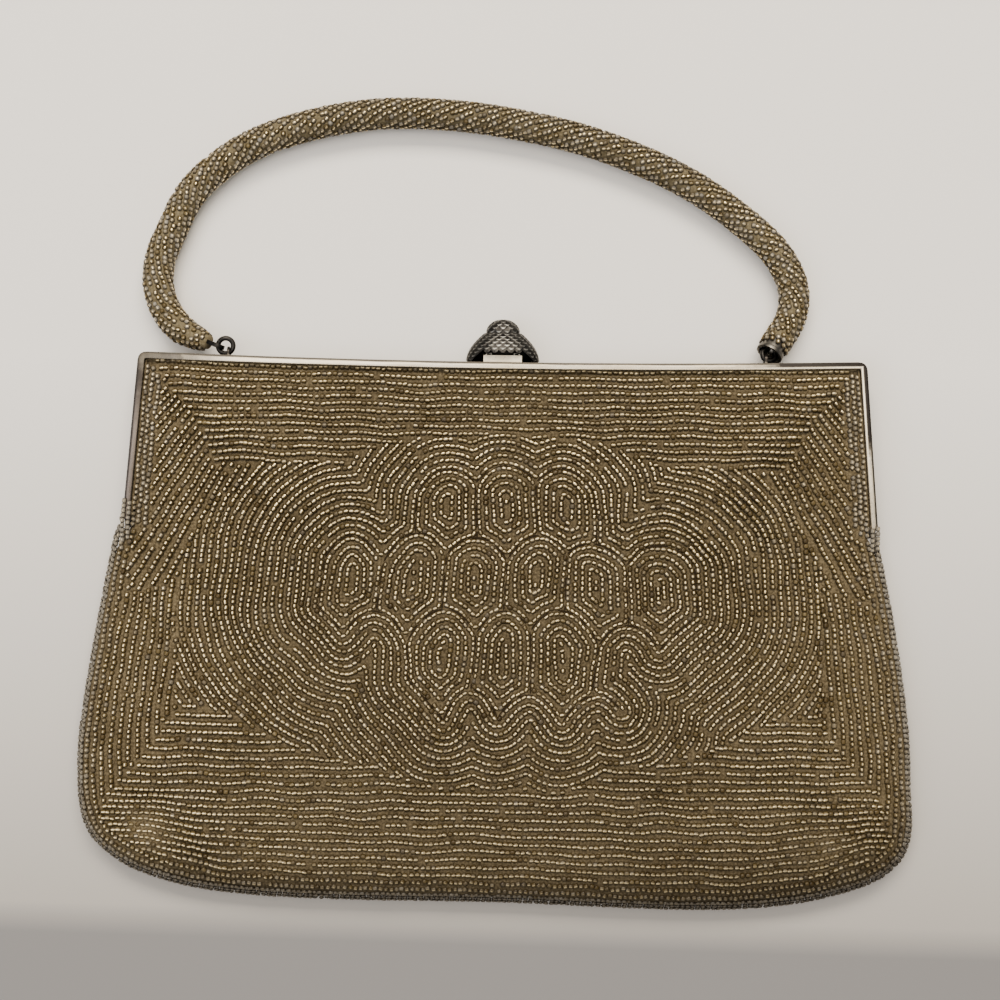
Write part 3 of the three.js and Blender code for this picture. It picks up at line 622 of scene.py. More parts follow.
# %% Rows of every kind
RIPPLES = 30
TOP_ROWS = 18
LOW_ROWS = 32
FIRST_LOOP = 0.42  # rows from an outline to the first loop inside it
TOP_GAP = 0.45  # mm from the frame's strip to the first row
SAG_ROWS = 16  # rows over which the bend of the top bar dies away
LOW_FOLLOW = 10  # rows over which the bend of the bottom dies away
LOW_CURVE = -120.0  # the bottom of the seam lies below this
CORNER_RISE = 5.5  # mm that a row may rise to the corners before it runs straight on
FEWEST = 6  # points in a contour that is long enough to sew along
LOOK_AHEAD = 0.6  # mm ahead and behind over which the way of a line is measured
WANDER = {TOP: 0.25, LOW: 0.18, UPRIGHT: 0.2, SLANT: 0.15}  # mm that the rows wave by
HAND_WAVES = (
    # share of the height, mm for each radian, radians from row to row, radians at the start
    (0.6, 7.6, 0.31, 0.0),
    (0.4, 3.4, -0.47, 1.3),
)
across = np.linspace(-110, 110, 441)


def along(line, closed=False):
    """Points one bead apart along a line of points, and the way the line runs at each."""
    reached = reached_along(line)
    length = reached[-1]
    count = max(1, round(length / PITCH)) if closed else int(length / PITCH)
    pitch = length / count if closed else PITCH
    at = (np.arange(count) + chance.random()) * pitch
    at = at % length if closed else at[at < length]

    def place(where):
        where = where if closed else np.clip(where, 0, length)
        return places_at(where, reached, line, length if closed else None)

    ways = place(at + LOOK_AHEAD) - place(at - LOOK_AHEAD)
    return place(at), ways / np.maximum(np.hypot(*ways.T), 1e-9)[:, None]


def hand_wave(t, k, height):
    """A slow wave along row number k."""
    waves = (share * np.sin(t / pace + shift * k + start) for share, pace, shift, start in HAND_WAVES)
    return height * sum(waves)


def row_under_bar(k, gap):
    """Row number k below the top bar, as a line of points."""
    y = sag(across) * max(0, 1 - k / SAG_ROWS) - STRIP - gap - k * TOP_ROW
    return np.column_stack([across, y + hand_wave(across, k, WANDER[TOP])])


rows = []  # points, ways, kind
for k in range(RIPPLES):
    level = (min(k, CELL_LOOPS) + FIRST_LOOP) * ROW + max(k - CELL_LOOPS, 0) * RIPPLE_ROW
    for line, closed in level_lines(cell_distance, level):
        if len(line) > FEWEST:
            rows.append((*along(line, closed), MIDDLE))
for k in range(TOP_ROWS):
    rows.append((*along(row_under_bar(k, TOP_GAP)), TOP))
low_seam = np.interp(across, *seam_line[seam_line[:, 1] < LOW_CURVE][::-1].T) + POUCH_HEIGHT
low_seam = np.minimum(low_seam, CORNER_RISE)
for k in range(EDGE_ROWS, LOW_ROWS):
    follow = max(0, 1 - (k - EDGE_ROWS) / LOW_FOLLOW)
    y = inset_of((k + 0.5) * BAND_ROW) - POUCH_HEIGHT + low_seam * follow
    rows.append((*along(np.column_stack([across, y + hand_wave(across, k, WANDER[LOW])])), LOW))
print("rows so far:", len(rows))

# %% Rows of the sides
UPRIGHT_ROWS = 26
UPRIGHT_FROM = 105.0  # where straight upright rows are counted from
SIDE_FOLLOW = 15  # rows over which the bend of the side dies away
SIDE_POINTS = 3 * CURVE_POINTS  # of each half of the seam, those down to the bottom's own curve
ARM_START = 0.4  # rows from the strip to the first row beside an arm
SLANT_ROWS = 46
SLANT_BEFORE = 12  # of these lie above the first row's place
SLANT_FROM = (72.3, -29.8)
SLANT_WAY = math.radians(58.5)  # the slanted rows lean by this much on average
SLANT_FAN = ((-8, 30), (64, 46))  # mm from the first row, and the lean there in degrees
down = np.linspace(-38, -130, 185)
arm_y = np.linspace(-3, -47, 60)
t = np.linspace(-60, 60, 121)
for side, half in half_seams.items():
    edge_x = np.interp(down, half[SIDE_POINTS - 1 :: -1, 1], half[SIDE_POINTS - 1 :: -1, 0])
    steps = np.gradient(half, axis=0)
    inward = np.column_stack([steps[:, 1], -steps[:, 0]]) / np.hypot(*steps.T)[:, None]
    for k in range(EDGE_ROWS, UPRIGHT_ROWS):
        follow = max(0, 1 - (k - EDGE_ROWS) / SIDE_FOLLOW)
        outer_x = edge_x * follow + UPRIGHT_FROM * (1 - follow)
        x = outer_x - inset_of((k + 0.5) * BAND_ROW) + hand_wave(down, k, WANDER[UPRIGHT])
        rows.append((*along(np.column_stack([side * x, down])), UPRIGHT))
    for k in range(SLANT_ROWS):
        step = (k - SLANT_BEFORE) * RIPPLE_ROW
        lean = math.radians(np.interp(step, *SLANT_FAN))
        away = step + hand_wave(t, k, WANDER[SLANT])
        x = SLANT_FROM[0] + away * math.sin(SLANT_WAY) - t * math.cos(lean)
        y = SLANT_FROM[1] + away * math.cos(SLANT_WAY) + t * math.sin(lean)
        rows.append((*along(np.column_stack([side * x, y])), SLANT))
    for k in range(ARM_ROWS):
        x = frame_x(STRIP, arm_y) - (k + ARM_START) * ARM_ROW
        rows.append((*along(np.column_stack([side * x, arm_y])), ARM))
    for k in range(EDGE_ROWS):
        line = half + inward * float(inset_of((k + 0.5) * BAND_ROW))
        rows.append((*along(line * (side, 1)), EDGE))
front_points = np.vstack([r[0] for r in rows])
front_ways = np.vstack([r[1] for r in rows])
front_kind = np.concatenate([np.full(len(r[0]), r[2]) for r in rows])
keep = kind_at(front_points) == front_kind
front_points, front_ways, front_kind = front_points[keep], front_ways[keep], front_kind[keep]
print("stitches on the front:", len(front_points))

# %% [markdown]
# Rows of different kinds run into each other, so some stitches land on a bead that is there
# already, and in some corners no row gets close enough. A tree of the places finds the crowded
# pairs, where the later bead is left off, and then the bare spots, where one bead is added.

# %% Crowded and bare places
CLOSEST = 1.14  # mm between the middles of two beads
MISSING = 0.012  # share of the beads that have been lost
ROOM = 1.5  # mm from every bead, where one more fits in
SPOT_STEP = 0.6
SPOTS_X = (-109, 109)
SPOTS_Y = (-143, -2)
WAVE_COUNT = 12
WAVE_RATE = 0.45  # radians per mm, of the quickest wave
CALM_EDGE = 6.0  # mm from the outline within which the sewing wanders less


def in_space(point):
    """A point in plan or in space as a point in space."""
    return (*point, 0) if len(point) == 2 else point


def tree_of(points):
    """A search tree of points in plan or in space."""
    tree = kdtree.KDTree(len(points))
    for i, point in enumerate(points):
        tree.insert(in_space(point), i)
    tree.balance()
    return tree


def without_crowding(points, closest):
    """Which points stay when each later point too close to an earlier one goes."""
    tree = tree_of(points)
    stays = np.ones(len(points), bool)
    for i, point in enumerate(points):
        near = tree.find_range(in_space(point), closest)
        stays[i] = not any(j < i and stays[j] for _, j, _ in near)
    return stays


def bare_spots(points, room):
    """Places on the front further than room from every bead, and the nearest bead of each."""
    tree = tree_of(points)
    spots = np.meshgrid(np.arange(*SPOTS_X, SPOT_STEP), np.arange(*SPOTS_Y, SPOT_STEP))
    spots = np.stack(spots, axis=-1).reshape(-1, 2)
    spots = spots[kind_at(spots) > 0]
    found = [(tree.find((x, y, 0)), x, y) for x, y in spots]
    found = sorted([(hit[2], x, y, hit[1]) for hit, x, y in found if hit[2] > room], reverse=True)
    added = []
    for _, x, y, nearest in found:
        if all(math.hypot(x - a, y - b) > room for a, b, _ in added):
            added.append((x, y, nearest))
    return np.array([spot[:2] for spot in added]), np.array([spot[2] for spot in added])


WAVES = np.column_stack([
    # how fast each wave changes across and along, its phase, its way
    chance.uniform(-WAVE_RATE, WAVE_RATE, WAVE_COUNT),
    chance.uniform(-WAVE_RATE, WAVE_RATE, WAVE_COUNT),
    chance.uniform(0, 2 * math.pi, WAVE_COUNT),
    chance.uniform(0, 2 * math.pi, WAVE_COUNT),
])


def drift(points, height=0.1):
    """How far the sewing has wandered: nearly the same for beads that lie close together."""
    swing = height * np.sin(points @ WAVES[:, :2].T + WAVES[:, 2])
    return np.column_stack([swing @ np.cos(WAVES[:, 3]), swing @ np.sin(WAVES[:, 3])])


stays = without_crowding(front_points, CLOSEST) & (chance.random(len(front_points)) > MISSING)
front_points, front_ways, front_kind = front_points[stays], front_ways[stays], front_kind[stays]
spots, nearest = bare_spots(front_points, ROOM)
front_points = np.vstack([front_points, spots])
front_ways = np.vstack([front_ways, front_ways[nearest]])
front_kind = np.concatenate([front_kind, front_kind[nearest]])
free = np.clip(distance_to(front_points, outline) / CALM_EDGE, 0, 1)
front_points = front_points + drift(front_points) * free[:, None]
print("beads on the front:", len(front_points), "of them", len(spots), "in bare spots")

# %% [markdown]
# ## Finishes
#
# Lined seed beads are clear, brown-tinted glass with a silvered hole. The eye sees a dark body, and
# the lining shines through its middle as a narrow bright dash along the hole. The dash is partly a
# painted highlight: its cream colour paints the light that the lining reflects. It is painted from
# two numbers on the bead's points, the distance from its crest and the place along its hole.
# The glass has a soft gloss. Age leaves brown patches, and beads near the folds
# are greyer where the lining has gone.

# %% Lined glass
# The colour of the painted shade.
SHADE_COLOUR = "#171005"
LUMPS = 0.65  # roughness of every noise pattern here: how much its finer lumps count


def painted_shade(tree):
    """How much painted shade darkens a place: some in the middle and most along the bottom, where the pouch
    curves away from the light.
    """
    place = node(tree, "TexCoord").outputs["Object"]
    axes = node(tree, "SeparateXYZ", {"Vector": place}).outputs
    side = node(tree, "Math", {0: axes["X"]}, operation="ABSOLUTE")
    middle = node(tree, "MapRange", {"Value": side, "From Min": 0.082, "From Max": 0.04, "To Max": 0.24})
    slant = node(tree, "Math", {0: axes["X"], 1: 0.05}, operation="MULTIPLY")
    tilted = node(tree, "Math", {0: axes["Y"], 1: slant}, operation="SUBTRACT")
    low = node(tree, "MapRange", {"Value": tilted, "From Min": -0.05, "From Max": -0.073, "To Max": 0.55})
    return node(tree, "Math", {0: middle, 1: low}, operation="MAXIMUM")


def lined_glass(name, dark, light, shine, grey):
    """Glass seed beads with a silvered hole."""
    material, tree, shader = finish_named(name)
    place = node(tree, "TexCoord").outputs["Object"]
    labels = ("tone", "worn", "across", "lengthwise", "dash", "bright")
    marks = {label: node(tree, "Attribute", attribute_name=label).outputs["Fac"] for label in labels}
    body = node(tree, "Mix", {0: marks["tone"], 6: linear(dark), 7: linear(light)}, data_type="RGBA")
    # Stains are patches 10 to 30 mm across.
    cloud = node(tree, "TexNoise", {"Vector": place, "Scale": 55.0, "Detail": 4.0, "Roughness": LUMPS})
    stain = node(tree, "MapRange", {"Value": cloud, "From Min": 0.5, "From Max": 0.74, "To Max": 0.6})
    body = node(tree, "Mix", {0: stain, 6: body, 7: linear("#3a2a10")}, data_type="RGBA")
    body = node(tree, "Mix", {0: marks["worn"], 6: body, 7: linear(grey)}, data_type="RGBA")
    # Painted shade darkens each bead along its flanks and at its ends, where it meets its neighbours and
    # the cloth.
    from_middle = node(tree, "Math", {0: marks["lengthwise"]}, operation="ABSOLUTE")
    flank = node(tree, "MapRange", {"Value": marks["across"], "From Min": 0.55, "From Max": 1.0})
    end = node(tree, "MapRange", {"Value": from_middle, "From Min": 0.4, "From Max": 0.58})
    rim = node(tree, "Math", {0: flank, 1: end}, operation="MAXIMUM")
    rim = node(tree, "Math", {0: rim, 1: 0.75}, operation="MULTIPLY")
    body = node(tree, "Mix", {0: rim, 6: body, 7: linear("#1c1305")}, data_type="RGBA")
    # The dash, partly a painted highlight, lies along the crest and is as long and as bright as each bead's
    # own numbers say.
    narrow = node(tree, "MapRange", {"Value": marks["across"], "From Min": 0.23, "From Max": 0.13})
    left_over = node(tree, "Math", {0: marks["dash"], 1: from_middle}, operation="SUBTRACT")
    within = node(tree, "MapRange", {"Value": left_over, "From Min": -0.07, "From Max": 0.07})
    dash = node(tree, "Math", {0: narrow, 1: within}, operation="MULTIPLY")
    dash = node(tree, "Math", {0: dash, 1: marks["bright"]}, operation="MULTIPLY")
    lined = node(tree, "Mix", {0: dash, 6: body, 7: linear(shine)}, data_type="RGBA")
    # Painted shade darkens the middle and, most of all, the bottom.
    darkened = node(tree, "Mix", {0: painted_shade(tree), 6: lined, 7: linear(SHADE_COLOUR)}, data_type="RGBA")
    metal = node(tree, "Math", {0: dash, 1: 0.85}, operation="MULTIPLY")
    plug(tree, shader, {"Base Color": darkened, "Metallic": metal})
    plug(tree, shader, {"Roughness": 0.3, "Specular IOR Level": 0.2})
    return material


bead_glass = lined_glass("lined_khaki_glass", "#33270f", "#5e5031", "#ffe8b4", "#8a857a")
print("finish:", bead_glass.name, "with", len(bead_glass.node_tree.nodes), "nodes")

# %% [markdown]
# The cloth under the beads shows only as dark lines between them and as a tan core in the handle.
# It is a plain cotton weave, with ten threads to the centimetre, which is drawn coarse enough to show.

# %% Cotton cloth
def cotton(name, ground, thread):
    """Plain woven cotton, soiled in patches."""
    material, tree, shader = finish_named(name)
    place = node(tree, "TexCoord").outputs["Object"]
    waves = {"Vector": place, "Scale": 320.0, "Distortion": 2.5, "Detail": 2.0, "Detail Scale": 3.0}
    weft = node(tree, "TexWave", waves, bands_direction="X").outputs["Fac"]
    warp = node(tree, "TexWave", waves, bands_direction="Y").outputs["Fac"]
    weave = node(tree, "Math", {0: weft, 1: warp}, operation="MULTIPLY")
    weave = node(tree, "Math", {0: weave, 1: 0.3}, operation="MULTIPLY")
    fuzz = node(tree, "TexNoise", {"Vector": place, "Scale": 1500.0, "Detail": 3.0, "Roughness": LUMPS})
    fibre = node(tree, "MapRange", {"Value": fuzz, "From Min": 0.3, "From Max": 0.7, "To Max": 0.7})
    cloth = node(tree, "Math", {0: weave, 1: fibre}, operation="ADD")
    patch = node(tree, "TexNoise", {"Vector": place, "Scale": 90.0, "Detail": 4.0, "Roughness": LUMPS})
    limits = {"Value": patch, "From Min": 0.3, "From Max": 0.7, "To Min": 0.6, "To Max": 1.1}
    soil = node(tree, "MapRange", limits)
    cloth = node(tree, "Math", {0: cloth, 1: soil}, operation="MULTIPLY")
    woven = node(tree, "Mix", {0: cloth, 6: linear(ground), 7: linear(thread)}, data_type="RGBA")
    # Painted shade darkens the middle and, most of all, the bottom.
    darkened = node(tree, "Mix", {0: painted_shade(tree), 6: woven, 7: linear(SHADE_COLOUR)}, data_type="RGBA")
    bump = node(tree, "Bump", {"Height": cloth, "Strength": 0.5, "Distance": 0.0002})
    plug(tree, shader, {"Base Color": darkened, "Normal": bump, "Roughness": 0.9, "Specular IOR Level": 0.2})
    return material


pouch_cotton = cotton("khaki_cotton", "#312712", "#7e7055")
core_cotton = cotton("tan_cotton", "#574c34", "#857a60")
print("finishes:", pouch_cotton.name, core_cotton.name)

# %% [markdown]
# The fittings are oxidised silver: nearly black in the hollows, brighter where hands have rubbed
# the high places. A number on the points says how high a place stands.

# %% Oxidised silver
def oxidised_silver(name, bright, dull, dark):
    """Silver under a dark film, bright where it has been rubbed."""
    material, tree, shader = finish_named(name)
    place = node(tree, "TexCoord").outputs["Object"]
    rubbed = node(tree, "Attribute", attribute_name="rubbed").outputs["Fac"]
    cloud = node(tree, "TexNoise", {"Vector": place, "Scale": 260.0, "Detail": 5.0, "Roughness": LUMPS})
    film = node(tree, "MapRange", {"Value": cloud, "From Min": 0.35, "From Max": 0.65})
    tarnish = node(tree, "Mix", {0: film, 6: linear(dull), 7: linear(dark)}, data_type="RGBA")
    colour = node(tree, "Mix", {0: rubbed, 6: tarnish, 7: linear(bright)}, data_type="RGBA")
    speck = node(tree, "TexNoise", {"Vector": place, "Scale": 900.0, "Detail": 3.0, "Roughness": LUMPS})
    roughness = node(tree, "MapRange", {"Value": speck, "To Min": 0.28, "To Max": 0.52})
    bump = node(tree, "Bump", {"Height": speck, "Strength": 0.15, "Distance": 0.0001})
    plug(tree, shader, {"Base Color": colour, "Roughness": roughness, "Normal": bump, "Metallic": 1.0})
    return material


dark_silver = oxidised_silver("oxidised_silver", "#b5b2aa", "#3b3936", "#171615")
worn_silver = oxidised_silver("worn_silver", "#b5b2aa", "#8a857b", "#4b4843")
print("finishes:", dark_silver.name, worn_silver.name)

# %% [markdown]
# The frame is silvered sheet. Its strip is pale, with a thin line of painted shade along the outer
# edge, which rolls away from the light, and another along the cloth, and it is tarnished nearly black
# at both corners. The left arm has gone mauve. The finish works out the distance from the outer edge
# and paints by place: the wire and the knuckles above the bar get painted shade, as they lie under
# the clasp, and the catch plate in front of them is bright.

# %% Silvered sheet of the frame
def frame_inset(tree, axes, side):
    """How far a place lies inside the frame's outer edge, in metres."""
    part = node(tree, "Math", {0: axes["X"], 1: FRAME_HALF * MM}, operation="DIVIDE")
    square = node(tree, "Math", {0: part, 1: part}, operation="MULTIPLY")
    bow = node(tree, "Math", {0: square, 1: FRAME_SAG * MM}, operation="MULTIPLY")
    below = node(tree, "Math", {0: (FRAME_TOP - FRAME_SAG) * MM, 1: axes["Y"]}, operation="SUBTRACT")
    top_inset = node(tree, "Math", {0: below, 1: bow}, operation="ADD")
    below = node(tree, "Math", {0: FRAME_TOP * MM, 1: axes["Y"]}, operation="SUBTRACT")
    splayed = node(tree, "Math", {0: below, 1: math.tan(SPLAY)}, operation="MULTIPLY")
    arm_x = node(tree, "Math", {0: splayed, 1: FRAME_HALF * MM}, operation="ADD")
    arm_inset = node(tree, "Math", {0: arm_x, 1: side}, operation="SUBTRACT")
    return node(tree, "Math", {0: top_inset, 1: arm_inset}, operation="MINIMUM")


def silvered_sheet(name, bright, dull, dark, mauve):
    """Silvered sheet metal, tarnished by place."""
    material, tree, shader = finish_named(name)
    place = node(tree, "TexCoord").outputs["Object"]
    axes = node(tree, "SeparateXYZ", {"Vector": place}).outputs
    cloud = node(tree, "TexNoise", {"Vector": place, "Scale": 70.0, "Detail": 6.0, "Roughness": LUMPS})
    speck = node(tree, "TexNoise", {"Vector": place, "Scale": 800.0, "Detail": 3.0, "Roughness": LUMPS})
    side = node(tree, "Math", {0: axes["X"]}, operation="ABSOLUTE")
    inset = frame_inset(tree, axes, side)
    uneven = node(tree, "Math", {0: cloud, 1: 0.5}, operation="SUBTRACT")
    fray = node(tree, "Math", {0: uneven, 1: 0.0006}, operation="MULTIPLY")
    frayed = node(tree, "Math", {0: inset, 1: fray}, operation="ADD")
    wander = node(tree, "Math", {0: uneven, 1: 0.03}, operation="MULTIPLY")
    across = node(tree, "Math", {0: axes["X"], 1: wander}, operation="ADD")
    upward = node(tree, "Math", {0: axes["Y"], 1: wander}, operation="ADD")
    limits = ("Value", "From Min", "From Max", "To Max")
    masks = {
        # what is measured, where the mask is 0, where it is full, and how much that is
        # painted shade along the outer edge, which rolls away from the light
        "outer line": (frayed, 0.0007, 0.0004, 0.95),
        "on the bar": (inset, -0.0004, -0.0002, 1.0),
        # painted shade along the cloth
        "inner line": (inset, 0.00145, 0.0016, 0.85),
        "right end": (across, 0.062, 0.072, 1.0),
        "right arm": (upward, 0.041, 0.05, 1.0),
        "outer part": (inset, 0.0013, 0.001, 1.0),
        "left end": (across, -0.068, -0.084, 1.0),
        "left top": (upward, 0.05, 0.06, 0.88),
        "left arm": (across, -0.0885, -0.0935, 0.9),
        "spots": (cloud, 0.62, 0.8, 0.7),
        "clouds": (cloud, 0.3, 0.62, 1.0),
        "above": (inset, -0.0001, -0.0003, 1.0),
        "low": (axes["Z"], 0.0068, 0.0062, 1.0),
        "aside": (side, 0.0051, 0.0053, 1.0),
    }
    masks = {label: node(tree, "MapRange", dict(zip(limits, row))) for label, row in masks.items()}
    line = node(tree, "Math", {0: masks["outer line"], 1: masks["on the bar"]}, operation="MULTIPLY")
    corner = node(tree, "Math", {0: masks["right end"], 1: masks["right arm"]}, operation="MULTIPLY")
    corner = node(tree, "Math", {0: corner, 1: masks["outer part"]}, operation="MULTIPLY")
    far_corner = node(tree, "Math", {0: masks["left end"], 1: masks["left top"]}, operation="MULTIPLY")
    behind = node(tree, "Math", {0: masks["low"], 1: masks["aside"]}, operation="MAXIMUM")
    # Painted shade: the wire and the knuckles above the bar lie under the clasp.
    wire = node(tree, "Math", {0: masks["above"], 1: behind}, operation="MULTIPLY")
    cover = line
    for patch in (corner, far_corner, masks["inner line"], masks["spots"], wire):
        cover = node(tree, "Math", {0: cover, 1: patch}, operation="MAXIMUM")
    in_front = node(tree, "Math", {0: 1.0, 1: behind}, operation="SUBTRACT")
    plate = node(tree, "Math", {0: masks["above"], 1: in_front}, operation="MULTIPLY")
    off_plate = node(tree, "Math", {0: 1.0, 1: plate}, operation="SUBTRACT")
    cover = node(tree, "Math", {0: cover, 1: off_plate}, operation="MULTIPLY")
    less = node(tree, "Math", {0: plate, 1: 0.7}, operation="MULTIPLY")
    metal = node(tree, "Math", {0: 0.85, 1: less}, operation="SUBTRACT")
    pale = node(tree, "Mix", {0: masks["clouds"], 6: linear(bright), 7: linear(dull)}, data_type="RGBA")
    worn = node(tree, "Mix", {0: masks["left arm"], 6: pale, 7: linear(mauve)}, data_type="RGBA")
    colour = node(tree, "Mix", {0: cover, 6: worn, 7: linear(dark)}, data_type="RGBA")
    roughness = node(tree, "MapRange", {"Value": speck, "To Min": 0.18, "To Max": 0.4})
    bump = node(tree, "Bump", {"Height": speck, "Strength": 0.12, "Distance": 0.0001})
    plug(tree, shader, {"Base Color": colour, "Roughness": roughness, "Normal": bump, "Metallic": metal})
    return material


frame_silver = silvered_sheet("silvered_sheet", "#fbf0da", "#e0d2b6", "#2b2723", "#4e433f")
print("finish:", frame_silver.name, "with", len(frame_silver.node_tree.nodes), "nodes")

# %% [markdown]
# ## The pouch's cloth
#
# The cloth is a copy of each panel's solid, drawn together to thin cloth and smoothed once. The
# copy is merged first, because the frame's solids come in as loose triangles.

# %% Cloth of the pouch
CLOTH_UNDER = 0.55  # mm from the panel's outer face down to the cloth


def cloth_panel(name, source):
    """The cloth of one panel, from its solid."""
    piece = merged_copy(name, source)
    bpy.ops.object.mode_set(mode="EDIT")
    bpy.ops.transform.shrink_fatten(value=-CLOTH_UNDER * MM)
    bpy.ops.mesh.tris_convert_to_quads()
    bpy.ops.object.mode_set(mode="OBJECT")
    piece.modifiers.new("soften", "SUBSURF").levels = 1
    bpy.ops.object.modifier_apply(modifier="soften")
    bpy.ops.object.shade_smooth()
    piece.data.materials.clear()
    piece.data.materials.append(pouch_cotton)
    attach(piece, "bag")
    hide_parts(source)
    return piece


front_cloth = cloth_panel("front_cloth", "front_panel")
back_cloth = cloth_panel("back_cloth", "back_panel")
print("cloth faces:", len(front_cloth.data.polygons), len(back_cloth.data.polygons))

# %% [markdown]
# ## One bead, many times
#
# A bead is a short barrel with its hole along the row. It has few faces, because there are many
# thousands: rings of six points, closer together on top, where the bead is seen. The numbers kept
# on its points are the distance from the crest, the place along the hole, and for the whole bead its
# tone, how bright and how long its dash is, and how worn it is.

# %% The bead
BEAD_LENGTH = 1.25
BEAD_PROFILE = (
    # aside, up, distance from the crest
    (0.0, 0.5, 0.0),
    (-0.36, 0.41, 0.37),
    (-0.72, 0.02, 0.9),
    (0.0, -0.5, 1.5),
    (0.72, 0.02, 0.9),
    (0.36, 0.41, 0.37),
)
FULL_BEAD = ((-0.5, 0.7), (-0.3, 1.0), (0.3, 1.0), (0.5, 0.7))  # place along the hole, size
PLAIN_BEAD = ((-0.5, 0.7), (0.0, 1.0), (0.5, 0.7))


def barrel(rings):
    """Points of one bead along X with +Z up, its faces, and the numbers that place the dash."""
    around = len(BEAD_PROFILE)
    points, marks = [], []
    for at, size in rings:
        for aside, up, across in BEAD_PROFILE:
            points.append((at * BEAD_LENGTH, aside * size, up * size))
            marks.append((across, at * BEAD_LENGTH))
    caps = []
    for start, order in ((0, 1), ((len(rings) - 1) * around, -1)):
        ring = [start + i for i in range(around)][::order]
        caps.append((ring[0], ring[5], ring[4], ring[3]))
        caps.append((ring[0], ring[3], ring[2], ring[1]))
    return np.array(points), np.vstack([ring_faces(len(rings), around), caps]), np.array(marks)


print("faces of a full bead:", len(barrel(FULL_BEAD)[1]), "and of a plain one:", len(barrel(PLAIN_BEAD)[1]))

# %% [markdown]
# No two beads are alike. Each is turned a little and has its own size, length and brightness, more
# so where the sewing is loose, and soil dulls them in soft patches. The dashes are longer on rows
# that run across, because the light comes from beyond the handle.

# %% Sewing beads on
PATCHES = 90
TURN_SPREAD = 0.13  # radians that a bead is turned by
SIDE_SPREAD = 0.16  # mm that a loose bead lies beside its row
SIZE_SPREAD = 0.05
LENGTH = (0.98, 0.06)  # of a bead as a share of its full length, and its spread
BRIGHT = (0.72, 0.4)  # of a clean dash, and its spread
DASH = (0.31, 0.29, 0.05)  # half length in mm, what rows across add, and the spread
LOOSE_TURN = 3  # how many times more a loose bead is turned
SOIL_DULLS = 0.55  # brightness lost to soil
WEAR_DULLS = 0.3  # share of the brightness lost to wear
SHORTENS = 0.45  # share of its length that a short dash lacks
TONES = {
    # middle and spread of how light the beads are
    "front": (0.55, 0.22),
    "hinges": (0.6, 0.2),
    "back": (0.5, 0.2),
    "seam": (0.5, 0.2),
    "handle": (0.8, 0.22),
}
SOIL = np.column_stack([
    # x, y, reach, depth of each patch
    chance.uniform(-105, 105, PATCHES),
    chance.uniform(-140, 66, PATCHES),
    chance.uniform(2.5, 9, PATCHES),
    chance.uniform(-0.35, 0.75, PATCHES),
])
SOIL = np.vstack([SOIL, [(82, -31, 9, 0.9), (96, -124, 14, 0.6)]])


def soiled(points):
    """How soiled the beads are: soft patches of different sizes over the bag."""
    away = np.hypot(points[:, 0:1] - SOIL[:, 0], points[:, 1:2] - SOIL[:, 1]) / SOIL[:, 2]
    return (np.exp(-away * away) * SOIL[:, 3]).sum(axis=1)


def scattered(middle, spread, count, most=1.0):
    """Numbers spread round a middle value, from 0 to the most."""
    return np.clip(chance.normal(middle, spread, count), 0, most)


print("patches of soil:", len(SOIL))

# %% A mesh of beads
def lying(ways):
    """Ways in plan as ways in space."""
    return np.column_stack([ways, np.zeros(len(ways))])


def sew(name, centres, ways, normals, tones, worn, rings=FULL_BEAD, shine=1.0, short=0.0, loose=0.0):
    """One mesh of beads: each at its centre, along its row, standing on the cloth."""
    count = len(centres)
    shape, faces, marks = barrel(rings)
    ways = unit(ways - (ways * normals).sum(axis=1)[:, None] * normals)
    yaw = (chance.normal(0, TURN_SPREAD, count) * (1 + LOOSE_TURN * loose))[:, None]
    ways = ways * np.cos(yaw) + np.cross(normals, ways) * np.sin(yaw)
    aside = np.cross(normals, ways)
    centres = centres + (chance.normal(0, SIDE_SPREAD, count) * loose)[:, None] * aside
    size = chance.normal(1.0, SIZE_SPREAD, count)[:, None, None]
    length = chance.normal(*LENGTH, count)[:, None, None]
    points = (
        shape[None, :, 0:1] * length * ways[:, None, :]
        + shape[None, :, 1:2] * size * aside[:, None, :]
        + shape[None, :, 2:3] * size * normals[:, None, :]
        + centres[:, None, :]
    )
    all_faces = faces[None] + (np.arange(count) * len(shape))[:, None, None]
    piece = mesh_piece(name, points.reshape(-1, 3), all_faces.reshape(-1, 4), bead_glass)
    bright = np.clip(chance.normal(*BRIGHT, count) - SOIL_DULLS * soiled(centres), 0.0, 1.0)
    # The dash, a painted highlight in part, is longer on rows that run across.
    dash = DASH[0] + DASH[1] * np.abs(ways[:, 0]) + chance.normal(0, DASH[2], count)
    of_points = {"across": marks[:, 0], "lengthwise": marks[:, 1]}
    of_beads = {
        "tone": tones,
        "bright": bright * (1 - WEAR_DULLS * worn) * shine,
        "dash": dash * (1 - SHORTENS * short),
        "worn": worn,
    }
    values = {label: np.tile(numbers, count) for label, numbers in of_points.items()}
    values.update({label: np.repeat(numbers, len(shape)) for label, numbers in of_beads.items()})
    for label, numbers in values.items():
        layer = piece.data.attributes.new(label, "FLOAT", "POINT")
        layer.data.foreach_set("value", numbers.astype(np.float32))
    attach(piece, "bag")
    print(name, count, "beads")
    return piece


print("points of a full bead:", len(barrel(FULL_BEAD)[0]))
